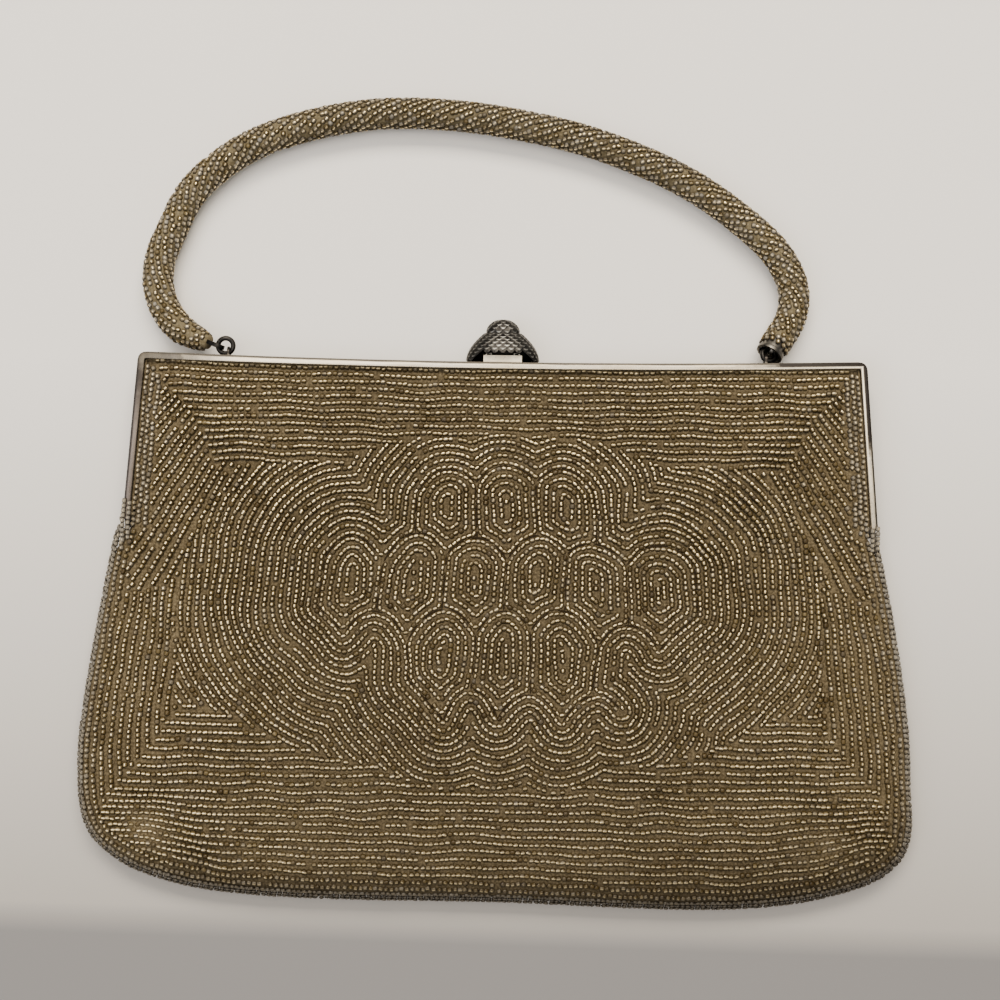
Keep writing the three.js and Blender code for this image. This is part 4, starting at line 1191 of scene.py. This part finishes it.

# %% [markdown]
# On the front, beads sink a little where an outline runs under them, and painted shade darkens them there.
# Along the seam they are worn grey. The dashes are fainter under the frame and shorter where the
# rows run up and down.

# %% Beads on the front
SINK = 0.5  # mm that a bead's middle lies under the outer face
GROOVE = (0.25, 1.2)  # depth and reach of the groove along an outline
DARK_OUTLINE = (0.35, 1.4)  # how much darker beads are beside an outline, and its reach
WORN_EDGE = (0.65, 2.0)  # how worn beads are along the seam, and its reach
DULL_EDGE = (0.7, 2.5)  # how dull they are along the bottom of the seam, and its reach
LOW_WEAR = 0.2  # share of the wear that the bottom is spared
ARM_WEAR = 0.25  # added along the arms
MOST_WORN = (0.9, 0.8)  # on the front, and along the arms
LOW_BAND = (-98, 25)  # y where the bottom begins, and mm over which it sets in
STITCH_SPREAD = (0.07, 0.06)  # mm along the row and across it
WEAR_SPREAD = 0.1
TOP_SHINE = 0.62
SIDE_SHINE = 1.12
EDGE_LOOSE = 0.8
SHORT = {MIDDLE: 0.0, TOP: 0.0, SLANT: 0.6, UPRIGHT: 0.4, LOW: 0.0, EDGE: 0.9, ARM: 0.9}  # dashes


def lowness(y):
    """0 above the lower corners, 1 along the bottom."""
    return np.clip((LOW_BAND[0] - y) / LOW_BAND[1], 0, 1)


count = len(front_points)
normals = facing(front_points, front_height, 1)
surface = np.column_stack([front_points, front_height(front_points)])
to_outline = distance_to_cells(front_points)
groove = GROOVE[0] * np.exp(-((to_outline / GROOVE[1]) ** 2))
centres = surface - (SINK + groove)[:, None] * normals
ways = lying(front_ways)
centres = centres + ways * chance.normal(0, STITCH_SPREAD[0], count)[:, None]
centres = centres + np.cross(normals, ways) * chance.normal(0, STITCH_SPREAD[1], count)[:, None]
edge = distance_to(front_points, seam_line)
tones = scattered(*TONES["front"], count)
# Painted shade: beads beside an outline are darker, as the groove there lies in shade.
tones = tones * (1 - DARK_OUTLINE[0] * np.exp(-((to_outline / DARK_OUTLINE[1]) ** 2)))
low_edge = lowness(front_points[:, 1])
seam_wear = WORN_EDGE[0] * np.exp(-edge / WORN_EDGE[1]) * (1 - LOW_WEAR * low_edge)
worn = np.clip(chance.normal(0.0, WEAR_SPREAD, count) + seam_wear, 0, MOST_WORN[0])
worn[front_kind == ARM] = np.clip(worn[front_kind == ARM] + ARM_WEAR, 0, MOST_WORN[1])
shine = 1 - DULL_EDGE[0] * np.exp(-edge / DULL_EDGE[1]) * low_edge
shine[front_kind == TOP] *= TOP_SHINE
shine[np.isin(front_kind, (SLANT, UPRIGHT, LOW))] *= SIDE_SHINE
short = np.array([SHORT[kind] for kind in front_kind])
loose = np.isin(front_kind, (EDGE, ARM)) * EDGE_LOOSE
left = front_points[:, 0] < 0
groups = {
    "beads_middle_left": (front_kind == MIDDLE) & left,
    "beads_middle_right": (front_kind == MIDDLE) & ~left,
    "beads_sides": np.isin(front_kind, (SLANT, UPRIGHT, EDGE, ARM)),
    "beads_bands": np.isin(front_kind, (TOP, LOW)),
}
for name, mine in groups.items():
    placed = (values[mine] for values in (centres, ways, normals, tones, worn))
    sew(name, *placed, shine=shine[mine], short=short[mine], loose=loose[mine])

# %% [markdown]
# A dark cord lies in the groove along each outline of a cell as painted shade of the groove, and a
# khaki one along the inside of the frame, where the cloth is sewn to it. Both are thin tubes that
# follow the cloth.

# %% Cords
CORD_SIDES = 6
CORD_STEP = 0.9
CORD_TIP = 0.02  # radius at the two ends
EDGE_CORD = STRIP + 0.25  # mm from the frame's outer edge to the khaki cord
CORD_PIECE = (3.0, 7.5)  # mm, the shortest and the longest stretch of dark cord that shows
CORD_BREAK = (0.6, 2.0)  # mm between two stretches
LEAST_CORD = 1.5
PIECE_POINTS = 9


def cord(name, lines, radius, sink, material):
    """One mesh of thin tubes along lines in plan, sunk into the front."""
    spokes = np.arange(CORD_SIDES) / CORD_SIDES * 2 * math.pi
    points, faces, first = [], [], 0
    for line in lines:
        reached = reached_along(line)
        at = np.linspace(0, reached[-1], max(4, int(reached[-1] / CORD_STEP)))
        plan = places_at(at, reached, line)
        way = np.gradient(plan, axis=0)
        way /= np.hypot(*way.T)[:, None]
        aside = lying(np.column_stack([-way[:, 1], way[:, 0]]))
        middle = np.column_stack([plan, front_height(plan) - sink])
        width = np.full(len(at), radius)
        width[[0, -1]] = CORD_TIP
        ring = np.cos(spokes)[:, None] * aside[:, None, :] + np.sin(spokes)[:, None] * (0, 0, 1)
        points.append((middle[:, None, :] + width[:, None, None] * ring).reshape(-1, 3))
        faces.append(first + ring_faces(len(at), CORD_SIDES))
        first += len(at) * CORD_SIDES
    piece = mesh_piece(name, np.vstack(points), np.vstack(faces), material)
    close_ends(piece)
    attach(piece, "bag")
    print(name, len(piece.data.polygons), "faces")


# The dark cord is painted shade, a dark line where the groove lies in shade.
groove_shade_cotton = cotton("groove_shade_cotton", "#1a1104", "#33260e")
broken_lines = []
for line in cell_lines:
    reached = reached_along(line)
    start = 0.0
    while start < reached[-1] - LEAST_CORD:
        end = min(start + chance.uniform(*CORD_PIECE), reached[-1])
        at = np.linspace(start, end, PIECE_POINTS)
        broken_lines.append(places_at(at, reached, line))
        start = at[-1] + chance.uniform(*CORD_BREAK)
cord("outline_cords", broken_lines, radius=0.26, sink=0.62, material=groove_shade_cotton)
cord_x = np.linspace(-1, 1, 61) * frame_x(EDGE_CORD, -EDGE_CORD)
under_strip = np.column_stack([cord_x, sag(cord_x) - EDGE_CORD])
arm_x = frame_x(EDGE_CORD, ARM_END)
edge_line = np.vstack([[(-arm_x, ARM_END)], under_strip, [(arm_x, ARM_END)]])
cord("edge_cord", [edge_line], radius=0.4, sink=0.45, material=pouch_cotton)

# %% [markdown]
# Beads also hide the ends of the frame's arms, where the hinges are, further up on the left.

# %% Beads over the hinges
ARM_COVER = ((-1, -38.8), (1, -43.2))  # side, and where the beads start
COVER_INSETS = (0.1, 1.5)  # of the two rows on each arm
COVER_END = -49.4
COVER_PITCH = PITCH * 0.92  # these beads are sewn closer
COVER_STAGGER = 0.4  # how much lower a row starts for each mm of its inset
COVER_LEAN = 0.5  # how far these beads lean outwards, for each mm up
COVER_WORN = 0.6
COVER_RISE = ((COVER_END, -44.5), (7.6, 9.9))  # y, and the height there
covers = []
for side, start in ARM_COVER:
    for inset in COVER_INSETS:
        down_arm = np.arange(start - COVER_STAGGER * inset, COVER_END, -COVER_PITCH)
        height = np.interp(down_arm, *COVER_RISE)
        covers.append(np.column_stack([side * frame_x(inset, down_arm), down_arm, height]))
centres = np.vstack(covers)
count = len(centres)
normals = unit(np.column_stack([COVER_LEAN * np.sign(centres[:, 0]), np.zeros(count), np.ones(count)]))
ways = np.tile((0.0, -1.0, 0.0), (count, 1))
tones = scattered(*TONES["hinges"], count)
sew("beads_hinges", centres, ways, normals, tones, np.full(count, COVER_WORN), short=0.9)

# %% [markdown]
# The back has no pattern that can be seen in the picture, so it gets plain rows across, one after
# the other from the frame to the bottom.

# %% Beads on the back
BACK_SINK = 0.62
BACK_ROWS = 72
BACK_GAP = 0.9  # mm from the frame's strip to the first row
BACK_CLEAR = 0.5  # mm that the rows keep from the seam and from the arms
BACK_SPLIT = -72.0  # the beads are two pieces, above and below this
BACK_WORN = (0.1, 0.2)  # how worn its beads are, and the spread
rows = [along(row_under_bar(k, BACK_GAP)) for k in range(BACK_ROWS)]
points = np.vstack([r[0] for r in rows])
ways = np.vstack([r[1] for r in rows])
inside = inside_of(points, outline) & (distance_to(points, seam_line) > BACK_CLEAR)
arm = frame_x(STRIP, points[:, 1]) - np.abs(points[:, 0])
inside &= (points[:, 1] < ARM_END) | (arm > BACK_CLEAR)
points, ways = points[inside], lying(ways[inside])
normals = facing(points, back_height, -1)
centres = np.column_stack([points, back_height(points)]) - BACK_SINK * normals
tones = scattered(*TONES["back"], len(centres))
worn = scattered(*BACK_WORN, len(centres), MOST_WORN[1])
upper = points[:, 1] > BACK_SPLIT
for name, mine in (("beads_back_upper", upper), ("beads_back_lower", ~upper)):
    placed = (values[mine] for values in (centres, ways, normals, tones, worn))
    sew(name, *placed, PLAIN_BEAD)

# %% [markdown]
# Three more rows run along the seam where the panels meet. Each lies a little lower and further out
# than the last, and they stand out further at the bottom.

# %% Beads along the seam
SEAM_ROWS = 3
SEAM_SINK = 0.6
SEAM_DROP = 0.5  # mm from one row down to the next
SEAM_WORN = (0.7, 0.1)  # how worn its beads are, and how much less along the bottom
SEAM_BULGE = ((-134, -112), (0.75, 0.45))  # y, and mm from one row out to the next
seam_rows = [along(seam_line) for _ in range(SEAM_ROWS)]
points, ways = (np.vstack(each) for each in zip(*seam_rows))
number = np.repeat(np.arange(SEAM_ROWS), [len(row[0]) for row in seam_rows])
normals = lying(np.column_stack([-ways[:, 1], ways[:, 0]]))
out = np.interp(points[:, 1], *SEAM_BULGE) * number - SEAM_SINK
centres = np.column_stack([points, SEAM_Z - SEAM_DROP * (number - 1)]) + out[:, None] * normals
tones = scattered(*TONES["seam"], len(centres))
low_edge = lowness(points[:, 1])
worn = SEAM_WORN[0] - SEAM_WORN[1] * low_edge
shine = 1 - DULL_EDGE[0] * low_edge
sew("beads_seam", centres, lying(ways), normals, tones, worn, PLAIN_BEAD, shine, short=0.9, loose=1.0)

# %% [markdown]
# ## The handle
#
# The handle is a cotton rope with beads wound round it in thirteen long spirals, which grow steeper
# towards the right, and the cotton shows between them. Its middle line is the same smooth curve as
# the solid's. The core is a tube with a tapered end, and every bead is placed by its distance along
# the rope and its angle round it.

# %% Middle line of the handle
ROUTE = np.array([
    # x, y, z
    (-80.8, 4.3, 5.1), (-84.7, 6.6, 4.5), (-88.4, 11.0, 4.25), (-90.7, 17.6, 4.25),
    (-90.3, 24.8, 4.25), (-87.3, 32.4, 4.25), (-81.8, 43.0, 4.25), (-69.4, 53.4, 4.25),
    (-55.2, 59.4, 4.25), (-36.0, 63.4, 4.25), (-20.0, 63.9, 4.25), (-1.7, 62.2, 4.25),
    (23.0, 56.9, 4.25), (46.6, 47.4, 4.25), (61.6, 37.6, 4.25), (71.6, 28.4, 4.25),
    (75.7, 20.7, 4.25), (76.2, 15.0, 4.25), (75.1, 10.6, 4.25), (73.1, 7.3, 4.6),
    (71.5, 4.9, 5.6),
])
LEFT_RING_SIDE = np.array([-74.3, 1.9, 7.4])
TIP_LENGTH = 4.6  # of the thin end that runs on towards the ring
TIP_JOIN = 0.6  # mm between that end's last point and the route's first
TIP_POINTS = 6
ROPE_LOOK_AHEAD = 0.8  # mm ahead and behind over which the rope's way is measured
ROPE_TAPER = ((0, 3, 8, 13), (0.5, 0.72, 0.95, 1.0))  # mm along it, share of its full radius
OVER_FERRULE = 2.6  # how far the beads run on over the metal cup


def smooth_through(points, steps=16):
    """A smooth curve through points, which bends most where they lie close together."""
    padded = np.vstack([2 * points[0] - points[1], points, 2 * points[-1] - points[-2]])
    curve = []
    for p0, p1, p2, p3 in zip(padded, padded[1:], padded[2:], padded[3:]):
        d0, d1, d2 = (math.sqrt(np.linalg.norm(b - a)) for a, b in ((p0, p1), (p1, p2), (p2, p3)))
        t1 = ((p1 - p0) / d0 - (p2 - p0) / (d0 + d1) + (p2 - p1) / d1) * d1
        t2 = ((p2 - p1) / d1 - (p3 - p1) / (d1 + d2) + (p3 - p2) / d2) * d1
        for t in np.arange(steps) / steps:
            bend = (2 * t**3 - 3 * t**2 + 1) * p1 + (t**3 - 2 * t**2 + t) * t1
            curve.append(bend + (3 * t**2 - 2 * t**3) * p2 + (t**3 - t**2) * t2)
    return np.array(curve + [points[-1]])


rope_line = smooth_through(ROUTE)
tip_way = unit(LEFT_RING_SIDE - rope_line[0])
end_way = unit(rope_line[-1] - rope_line[-2])
tip = rope_line[0] + tip_way * np.linspace(TIP_LENGTH, TIP_JOIN, TIP_POINTS)[:, None]
over = rope_line[-1] + end_way * np.array([[OVER_FERRULE / 2], [OVER_FERRULE]])
rope_line = np.vstack([tip, rope_line, over])
rope_at = np.concatenate([[0], np.cumsum(np.linalg.norm(np.diff(rope_line, axis=0), axis=1))])
ROPE_END = rope_at[-1] - OVER_FERRULE
print("handle", round(float(ROPE_END)), "mm long")


def on_rope(at):
    """Centre, way, side and up of the rope at lengths along it."""
    ahead = places_at(at + ROPE_LOOK_AHEAD, rope_at, rope_line)
    way = unit(ahead - places_at(at - ROPE_LOOK_AHEAD, rope_at, rope_line))
    side = unit(np.cross((0, 0, 1), way))
    return places_at(at, rope_at, rope_line), way, side, np.cross(way, side)


def rope_size(at):
    """How thick the rope is at lengths along it, as a share of its full radius."""
    return np.interp(at, *ROPE_TAPER)

# %% Core of the handle
CORE_SIDES = 24
CORE_RINGS = 220
CORE_RADIUS = 3.6
at = np.linspace(0, ROPE_END, CORE_RINGS)
centre, way, side, up = on_rope(at)
turns = np.arange(CORE_SIDES) / CORE_SIDES * 2 * math.pi
radius = CORE_RADIUS * rope_size(at)
ring = np.cos(turns)[:, None] * side[:, None, :] + np.sin(turns)[:, None] * up[:, None, :]
points = (centre[:, None, :] + radius[:, None, None] * ring).reshape(-1, 3)
rope_core = mesh_piece("handle_core", points, ring_faces(CORE_RINGS, CORE_SIDES), core_cotton)
close_ends(rope_core)
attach(rope_core, "bag")
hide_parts("beaded_handle")
print("core faces:", len(rope_core.data.polygons))

# %% Beads of the handle
SPIRALS = 13
LEAN = np.radians((12, 27, 30))  # of the spirals, at the left end, a quarter along and at the right end
LEAN_AT = (0, 0.25, 1)
BEAD_RING = 3.66  # mm from the rope's middle line to the middle of a bead
FIRST_BEAD = 2.2
ROPE_CLOSEST = 0.95
START_SPREAD = 0.5  # mm by which the spirals start apart
ROPE_SPREAD = (0.12, 0.03)  # mm along the rope, and radians round it
SPIRAL_WANDER = 0.06  # radians that a spiral waves by
ROPE_WORN = (0.25, 0.25)  # how worn its beads are, and the spread
LOST = ((0, 6, 14), (0.25, 0.12, 0.015))  # mm along the rope, and the share of beads lost there
ruler = np.linspace(0, rope_at[-1], 600)
ruler_step = ruler[1] - ruler[0]
lean_at = np.array(LEAN_AT) * rope_at[-1]
leans = np.interp(ruler, lean_at, LEAN)
twist = np.cumsum(np.tan(leans)) * ruler_step / BEAD_RING
rope_reach = np.cumsum(1 / np.cos(leans)) * ruler_step
beads_at, beads_turn = [], []
for spiral in range(SPIRALS):
    reach = np.arange(FIRST_BEAD, rope_reach[-1], PITCH) + chance.uniform(-START_SPREAD, START_SPREAD)
    at = np.interp(reach, rope_reach, ruler) + chance.normal(0, ROPE_SPREAD[0], len(reach))
    beads_at.append(at)
    turn = 2 * math.pi * spiral / SPIRALS - np.interp(at, ruler, twist)
    turn = turn + hand_wave(at, spiral, SPIRAL_WANDER)
    beads_turn.append(turn + chance.normal(0, ROPE_SPREAD[1], len(at)))
at = np.concatenate(beads_at)
turn = np.concatenate(beads_turn)
lean = np.interp(at, lean_at, LEAN)[:, None]
centre, way, side, up = on_rope(at)
normals = np.cos(turn)[:, None] * side + np.sin(turn)[:, None] * up
ways = way * np.cos(lean) - np.cross(way, normals) * np.sin(lean)
centres = centre + normals * (BEAD_RING * rope_size(at))[:, None]
lost = chance.random(len(at)) < np.interp(at, *LOST)
stays = without_crowding(centres, ROPE_CLOSEST) & ~lost
tones = scattered(*TONES["handle"], len(centres))
worn = scattered(*ROPE_WORN, len(centres), MOST_WORN[0])
placed = (values[stays] for values in (centres, ways, normals, tones, worn))
sew("beads_handle", *placed, PLAIN_BEAD, shine=1.1, short=0.5, loose=0.3)

# %% [markdown]
# ## Metal
#
# The frame's solids have the right shape, but real sheet metal has soft edges that catch light.
# Each metal piece is a copy of its solid with its flat faces joined and its edges bevelled. The
# wire rings are smoothed instead. The hidden pins keep their solids and only get the finish.

# %% Frame and fittings
FLAT_WITHIN = math.radians(0.2)  # faces that differ by less are joined
SHARP_FROM = math.radians(40)  # edges that turn by more are bevelled
SMOOTH_WITHIN = math.radians(38)
WIRE_GROW = 0.26  # mm that make up for what the smoothing takes off the wire
FRAME_BEVEL = 0.22
BEVEL_STEPS = 3


def dressed(piece, source, material, body="bag"):
    """Gives a piece its finish, hangs it on its body and hides the solid it stands for."""
    piece.data.materials.clear()
    piece.data.materials.append(material)
    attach(piece, body)
    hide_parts(source)
    return piece


def bevelled(name, source, material, width, grow=0.0):
    """A metal piece with soft edges, from its solid."""
    piece = merged_copy(name, source)
    bpy.ops.object.mode_set(mode="EDIT")
    bpy.ops.transform.shrink_fatten(value=grow * MM)
    bpy.ops.mesh.dissolve_limited(angle_limit=FLAT_WITHIN)
    bpy.ops.object.mode_set(mode="OBJECT")
    soft = piece.modifiers.new("soft_edges", "BEVEL")
    soft.width = width * MM
    soft.segments = BEVEL_STEPS
    soft.limit_method = "ANGLE"
    soft.angle_limit = SHARP_FROM
    bpy.ops.object.modifier_apply(modifier="soft_edges")
    bpy.ops.object.shade_smooth_by_angle(angle=SMOOTH_WITHIN)
    return dressed(piece, source, material)


def rounded_wire(name, source):
    """A wire ring, smoothed from its solid."""
    piece = merged_copy(name, source)
    bpy.ops.object.mode_set(mode="EDIT")
    bpy.ops.transform.shrink_fatten(value=WIRE_GROW * MM)
    bpy.ops.mesh.tris_convert_to_quads()
    bpy.ops.object.mode_set(mode="OBJECT")
    piece.modifiers.new("round", "SUBSURF").levels = 2
    bpy.ops.object.modifier_apply(modifier="round")
    bpy.ops.object.shade_smooth()
    return dressed(piece, source, dark_silver)


front_metal = bevelled("front_frame_metal", "front_frame", frame_silver, FRAME_BEVEL)
back_metal = bevelled("back_frame_metal", "back_frame", frame_silver, FRAME_BEVEL)
bevelled("left_eye_wire", "left_handle_eye", dark_silver, width=0.25, grow=0.2)
bevelled("right_ferrule_cup", "right_ferrule", worn_silver, width=0.12)
rounded_wire("left_ring_wire", "left_frame_ring")
rounded_wire("right_ring_wire", "right_frame_ring")
for name in ("left_hinge_pin", "right_hinge_pin", "clasp_pin"):
    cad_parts[name].data.materials.clear()
    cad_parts[name].data.materials.append(dark_silver)
print("frame faces:", len(front_metal.data.polygons), len(back_metal.data.polygons))

# %% [markdown]
# ## The clasp
#
# The clasp is a hollow casting of two domes covered with overlapping scales. The solid has coarse
# scales; here the domes are turned again with many more points, each lifted by the height of the
# scale under it, and then hollowed and cut out as the solid is.

# %% Scaled domes
CAP_BASE = (0.3 - FRAME_SAG, 6.2)  # y from the frame's top edge, z of the middle of its depth
CAP_HALF = 9.25
CAP_WAIST = (4.55, 7.4)  # half width and height of the waist
KNOB_HALF = 4.1
CAP_HEIGHT = 11.0
CAP_WALL = 0.9
DEPTH_RATIO = (0.5, 0.62)  # depth over width, at the base and at the top
SCALES = 26  # round the foot of the lower dome, fewer further up
FEWEST_SCALES = 6  # round the top of the knob
SCALE_ROWS = (9, 6)
SCALE_LIFT = 0.36  # mm that a scale's tip stands out
SCALE_ROUND = 0.8  # rows from a scale's tip up to its corners
RUBBED_TIP = (0.2, 0.26, 0.9)  # in rows up, in widths across, and how bright
CALM_RADIUS = 1.5  # mm from the knob's top within which the scales flatten out
PER_SCALE = 6
PER_ROW = 6
LOWER_BEND = (1.9, 1.0)  # the lower dome is nearly straight up to the waist
KNOB_BEND = (2.0, 0.5)  # the knob is round
dome_height = CAP_WAIST[1] / (1 - CAP_WAIST[0] / CAP_HALF) ** (1 / LOWER_BEND[0])


def dome(half, height, bend, from_y, to_y, rows):
    """Radius and height at even lengths up a dome, and the row of scales at each."""
    y = np.linspace(0, to_y - from_y, 400)
    radius = half * np.maximum(0, 1 - (y / height) ** bend[0]) ** bend[1]
    length = reached_along(np.column_stack([y, radius]))
    row = np.arange(rows * PER_ROW) / PER_ROW + 0.02
    at = row / rows * length[-1]
    return np.interp(at, length, radius), from_y + np.interp(at, length, y), row


def scale_relief(turn, row, counts):
    """Height of the scales and how rubbed they are: each is thickest at its rounded lower tip."""
    height = np.zeros_like(turn)
    rim = np.zeros_like(turn)
    open_places = np.ones_like(turn, bool)
    for k in (np.floor(row), np.floor(row) - 1):
        across = turn * counts[np.clip(k, 0, None).astype(int)] + 0.5 * (k % 2)
        across = across - np.floor(across) - 0.5
        above = row - k - SCALE_ROUND * (2 * across) ** 2
        here = open_places & (above >= 0)
        height = np.where(here, SCALE_LIFT * (1 - above / 2), height)
        tip = np.exp(-((above / RUBBED_TIP[0]) ** 2) - (across / RUBBED_TIP[1]) ** 2)
        rim = np.where(here, tip, rim)
        open_places &= ~here
    return height, rim


print("the lower dome would close", round(dome_height, 1), "mm above its foot")

# %% The domes as one mesh
lower = dome(CAP_HALF, dome_height, LOWER_BEND, 0.0, CAP_WAIST[1], SCALE_ROWS[0])
knob = dome(KNOB_HALF, CAP_HEIGHT - CAP_WAIST[1], KNOB_BEND, CAP_WAIST[1], CAP_HEIGHT, SCALE_ROWS[1])
round_steps = SCALES * PER_SCALE
turn = np.arange(round_steps) / round_steps
reliefs = []
for tier in (lower, knob):
    counts = np.maximum(FEWEST_SCALES, np.round(SCALES * tier[0][::PER_ROW] / CAP_HALF))
    reliefs.append(scale_relief(*np.broadcast_arrays(turn[None, :], tier[2][:, None]), counts))
lift, rim = (np.vstack(pair) for pair in zip(*reliefs))
radius, height = (np.concatenate(pair) for pair in zip(lower[:2], knob[:2]))
lift[0] = 0
ratio = np.interp(height, (0, CAP_HEIGHT), DEPTH_RATIO)
size = radius[:, None] + lift * radius[:, None] / np.maximum(radius[:, None], CALM_RADIUS)
angle = turn[None, :] * 2 * math.pi
cap_points = np.stack([
    size * np.sin(angle),
    height[:, None] + lift / 3 + CAP_BASE[0],
    size * np.cos(angle) * ratio[:, None] + CAP_BASE[1],
], axis=-1)
cap_faces = ring_faces(len(radius), round_steps)
clasp = mesh_piece("scaled_clasp", cap_points.reshape(-1, 3), cap_faces, dark_silver)
layer = clasp.data.attributes.new("rubbed", "FLOAT", "POINT")
layer.data.foreach_set("value", (RUBBED_TIP[2] * rim).ravel().astype(np.float32))
close_ends(clasp)
print("scaled domes:", len(clasp.data.polygons), "faces")

# %% [markdown]
# Tools cut the casting to its shape: a smaller dome hollows it, a block clears the frame at the
# back, a rod makes room for the knuckles, and an arcade of five teeth opens the front over the
# catch plate. A barrel with a bore is then joined on for the pin.

# %% Tools for the clasp
PIVOT = (1.65 - FRAME_SAG, 2.2)  # y and z of the pin
KNUCKLE_RADIUS = 1.25
KNUCKLE_REACH = 4.2
NOTCH_HALF = 4.8  # the skirt stays whole beside the knuckles
BARREL = (1.3, 2.9)  # radius and half length
BORE = 0.9
CLEAR = 0.3
ARCADE_HALF = 8.1
ARCADE_SHOULDER = 0.2
TEETH = 5
TOOTH = 2.05  # width
TOOTH_TIP = 2.1  # height above the clasp's foot
TOOTH_ROOT = 2.9
TOOTH_STEPS = 8
ROOM_SIDES = 48
ROD_SIDES = 32
WEB_HEIGHT = 2.1  # of the web that carries the barrel, and of the notch for it
BEHIND = 20.0  # how far tools reach past the clasp at the back
BEFORE = 12.0  # and at the front
CLASP_SMOOTH = math.radians(50)


def block(low, high):
    """A box between two corners in mm."""
    low, high = np.array(low), np.array(high)
    middle = ((low + high) / 2 + (0, FRAME_TOP, 0)) * MM
    bpy.ops.mesh.primitive_cube_add(size=1, location=middle, scale=(high - low) * MM)
    return bpy.context.object


def rod(radius, half_length):
    """A rod along the clasp's pin."""
    place = np.array((0, PIVOT[0] + FRAME_TOP, PIVOT[1])) * MM
    bpy.ops.mesh.primitive_cylinder_add(
        vertices=ROD_SIDES,
        radius=radius * MM,
        depth=2 * half_length * MM,
        location=place,
        rotation=(0, math.pi / 2, 0),
    )
    return bpy.context.object


def prism(outline_points, from_z, to_z):
    """A flat outline in mm, pulled from one height to another."""
    count = len(outline_points)
    points = [(*p, z) for z in (from_z, to_z) for p in outline_points]
    mesh = bpy.data.meshes.new("prism")
    sides = [(i, (i + 1) % count, count + (i + 1) % count, count + i) for i in range(count)]
    caps = [tuple(range(count))[::-1], tuple(range(count, 2 * count))]
    mesh.from_pydata((np.array(points) + (0, FRAME_TOP, 0)) * MM, [], sides + caps)
    piece = bpy.data.objects.new("prism", mesh)
    bpy.context.collection.objects.link(piece)
    return piece


def carve(piece, tool, operation="DIFFERENCE"):
    """Cuts a tool out of a piece, or joins it on, and puts the tool away."""
    select_only(piece)
    change = piece.modifiers.new("carve", "BOOLEAN")
    change.operation = operation
    change.object = tool
    change.solver = "MANIFOLD"
    bpy.ops.object.modifier_apply(modifier="carve")
    bpy.data.objects.remove(tool)


print("pin", round(CAP_BASE[1] - PIVOT[1], 1), "mm behind the middle of the clasp")

# %% Cutting the clasp
room_y = np.array([-1, 0, 0.25, 0.5, 0.75, 1]) * (CAP_WAIST[1] - CAP_WALL)
room_radius = CAP_HALF * (1 - (np.maximum(room_y, 0) / dome_height) ** LOWER_BEND[0]) - CAP_WALL
room_ratio = (CAP_HALF * DEPTH_RATIO[0] - CAP_WALL) / (CAP_HALF - CAP_WALL)
turns = np.arange(ROOM_SIDES) / ROOM_SIDES * 2 * math.pi
room_points = np.stack([
    room_radius[:, None] * np.sin(turns),
    np.repeat(room_y[:, None] + CAP_BASE[0], ROOM_SIDES, axis=1),
    room_radius[:, None] * np.cos(turns) * room_ratio + CAP_BASE[1],
], axis=-1)
room = mesh_piece("room", room_points.reshape(-1, 3), ring_faces(len(room_y), ROOM_SIDES), dark_silver)
close_ends(room)
arcade = [(-ARCADE_HALF, -1), (-ARCADE_HALF, ARCADE_SHOULDER)]
for part in np.linspace(0, TEETH, TEETH * TOOTH_STEPS + 1):
    hang = 4 * (part % 1) * (1 - part % 1)
    arcade.append(((part - TEETH / 2) * TOOTH, TOOTH_ROOT + hang * (TOOTH_TIP - TOOTH_ROOT)))
arcade += [(ARCADE_HALF, ARCADE_SHOULDER), (ARCADE_HALF, -1)]
arcade = [(x, y + CAP_BASE[0]) for x, y in arcade[::-1]]
back_cut = PIVOT[1] + KNUCKLE_RADIUS + CLEAR
carve(clasp, room)
notch_low = (-NOTCH_HALF, CAP_BASE[0] - 1, -BEHIND)
carve(clasp, block(notch_low, (NOTCH_HALF, CAP_BASE[0] + WEB_HEIGHT, back_cut)))
carve(clasp, rod(KNUCKLE_RADIUS + CLEAR, KNUCKLE_REACH + CLEAR))
carve(clasp, prism(arcade, CAP_BASE[1], CAP_BASE[1] + BEFORE))
web_low = (-BARREL[1], PIVOT[0], PIVOT[1] - BARREL[0])
carve(clasp, block(web_low, (BARREL[1], PIVOT[0] + WEB_HEIGHT, PIVOT[1])), "UNION")
carve(clasp, rod(*BARREL), "UNION")
carve(clasp, rod(BORE, BARREL[1] + 1))
select_only(clasp)
bpy.ops.object.shade_smooth_by_angle(angle=CLASP_SMOOTH)
dressed(clasp, "clasp_cap", dark_silver, "clasp")
print("clasp:", len(clasp.data.polygons), "faces")
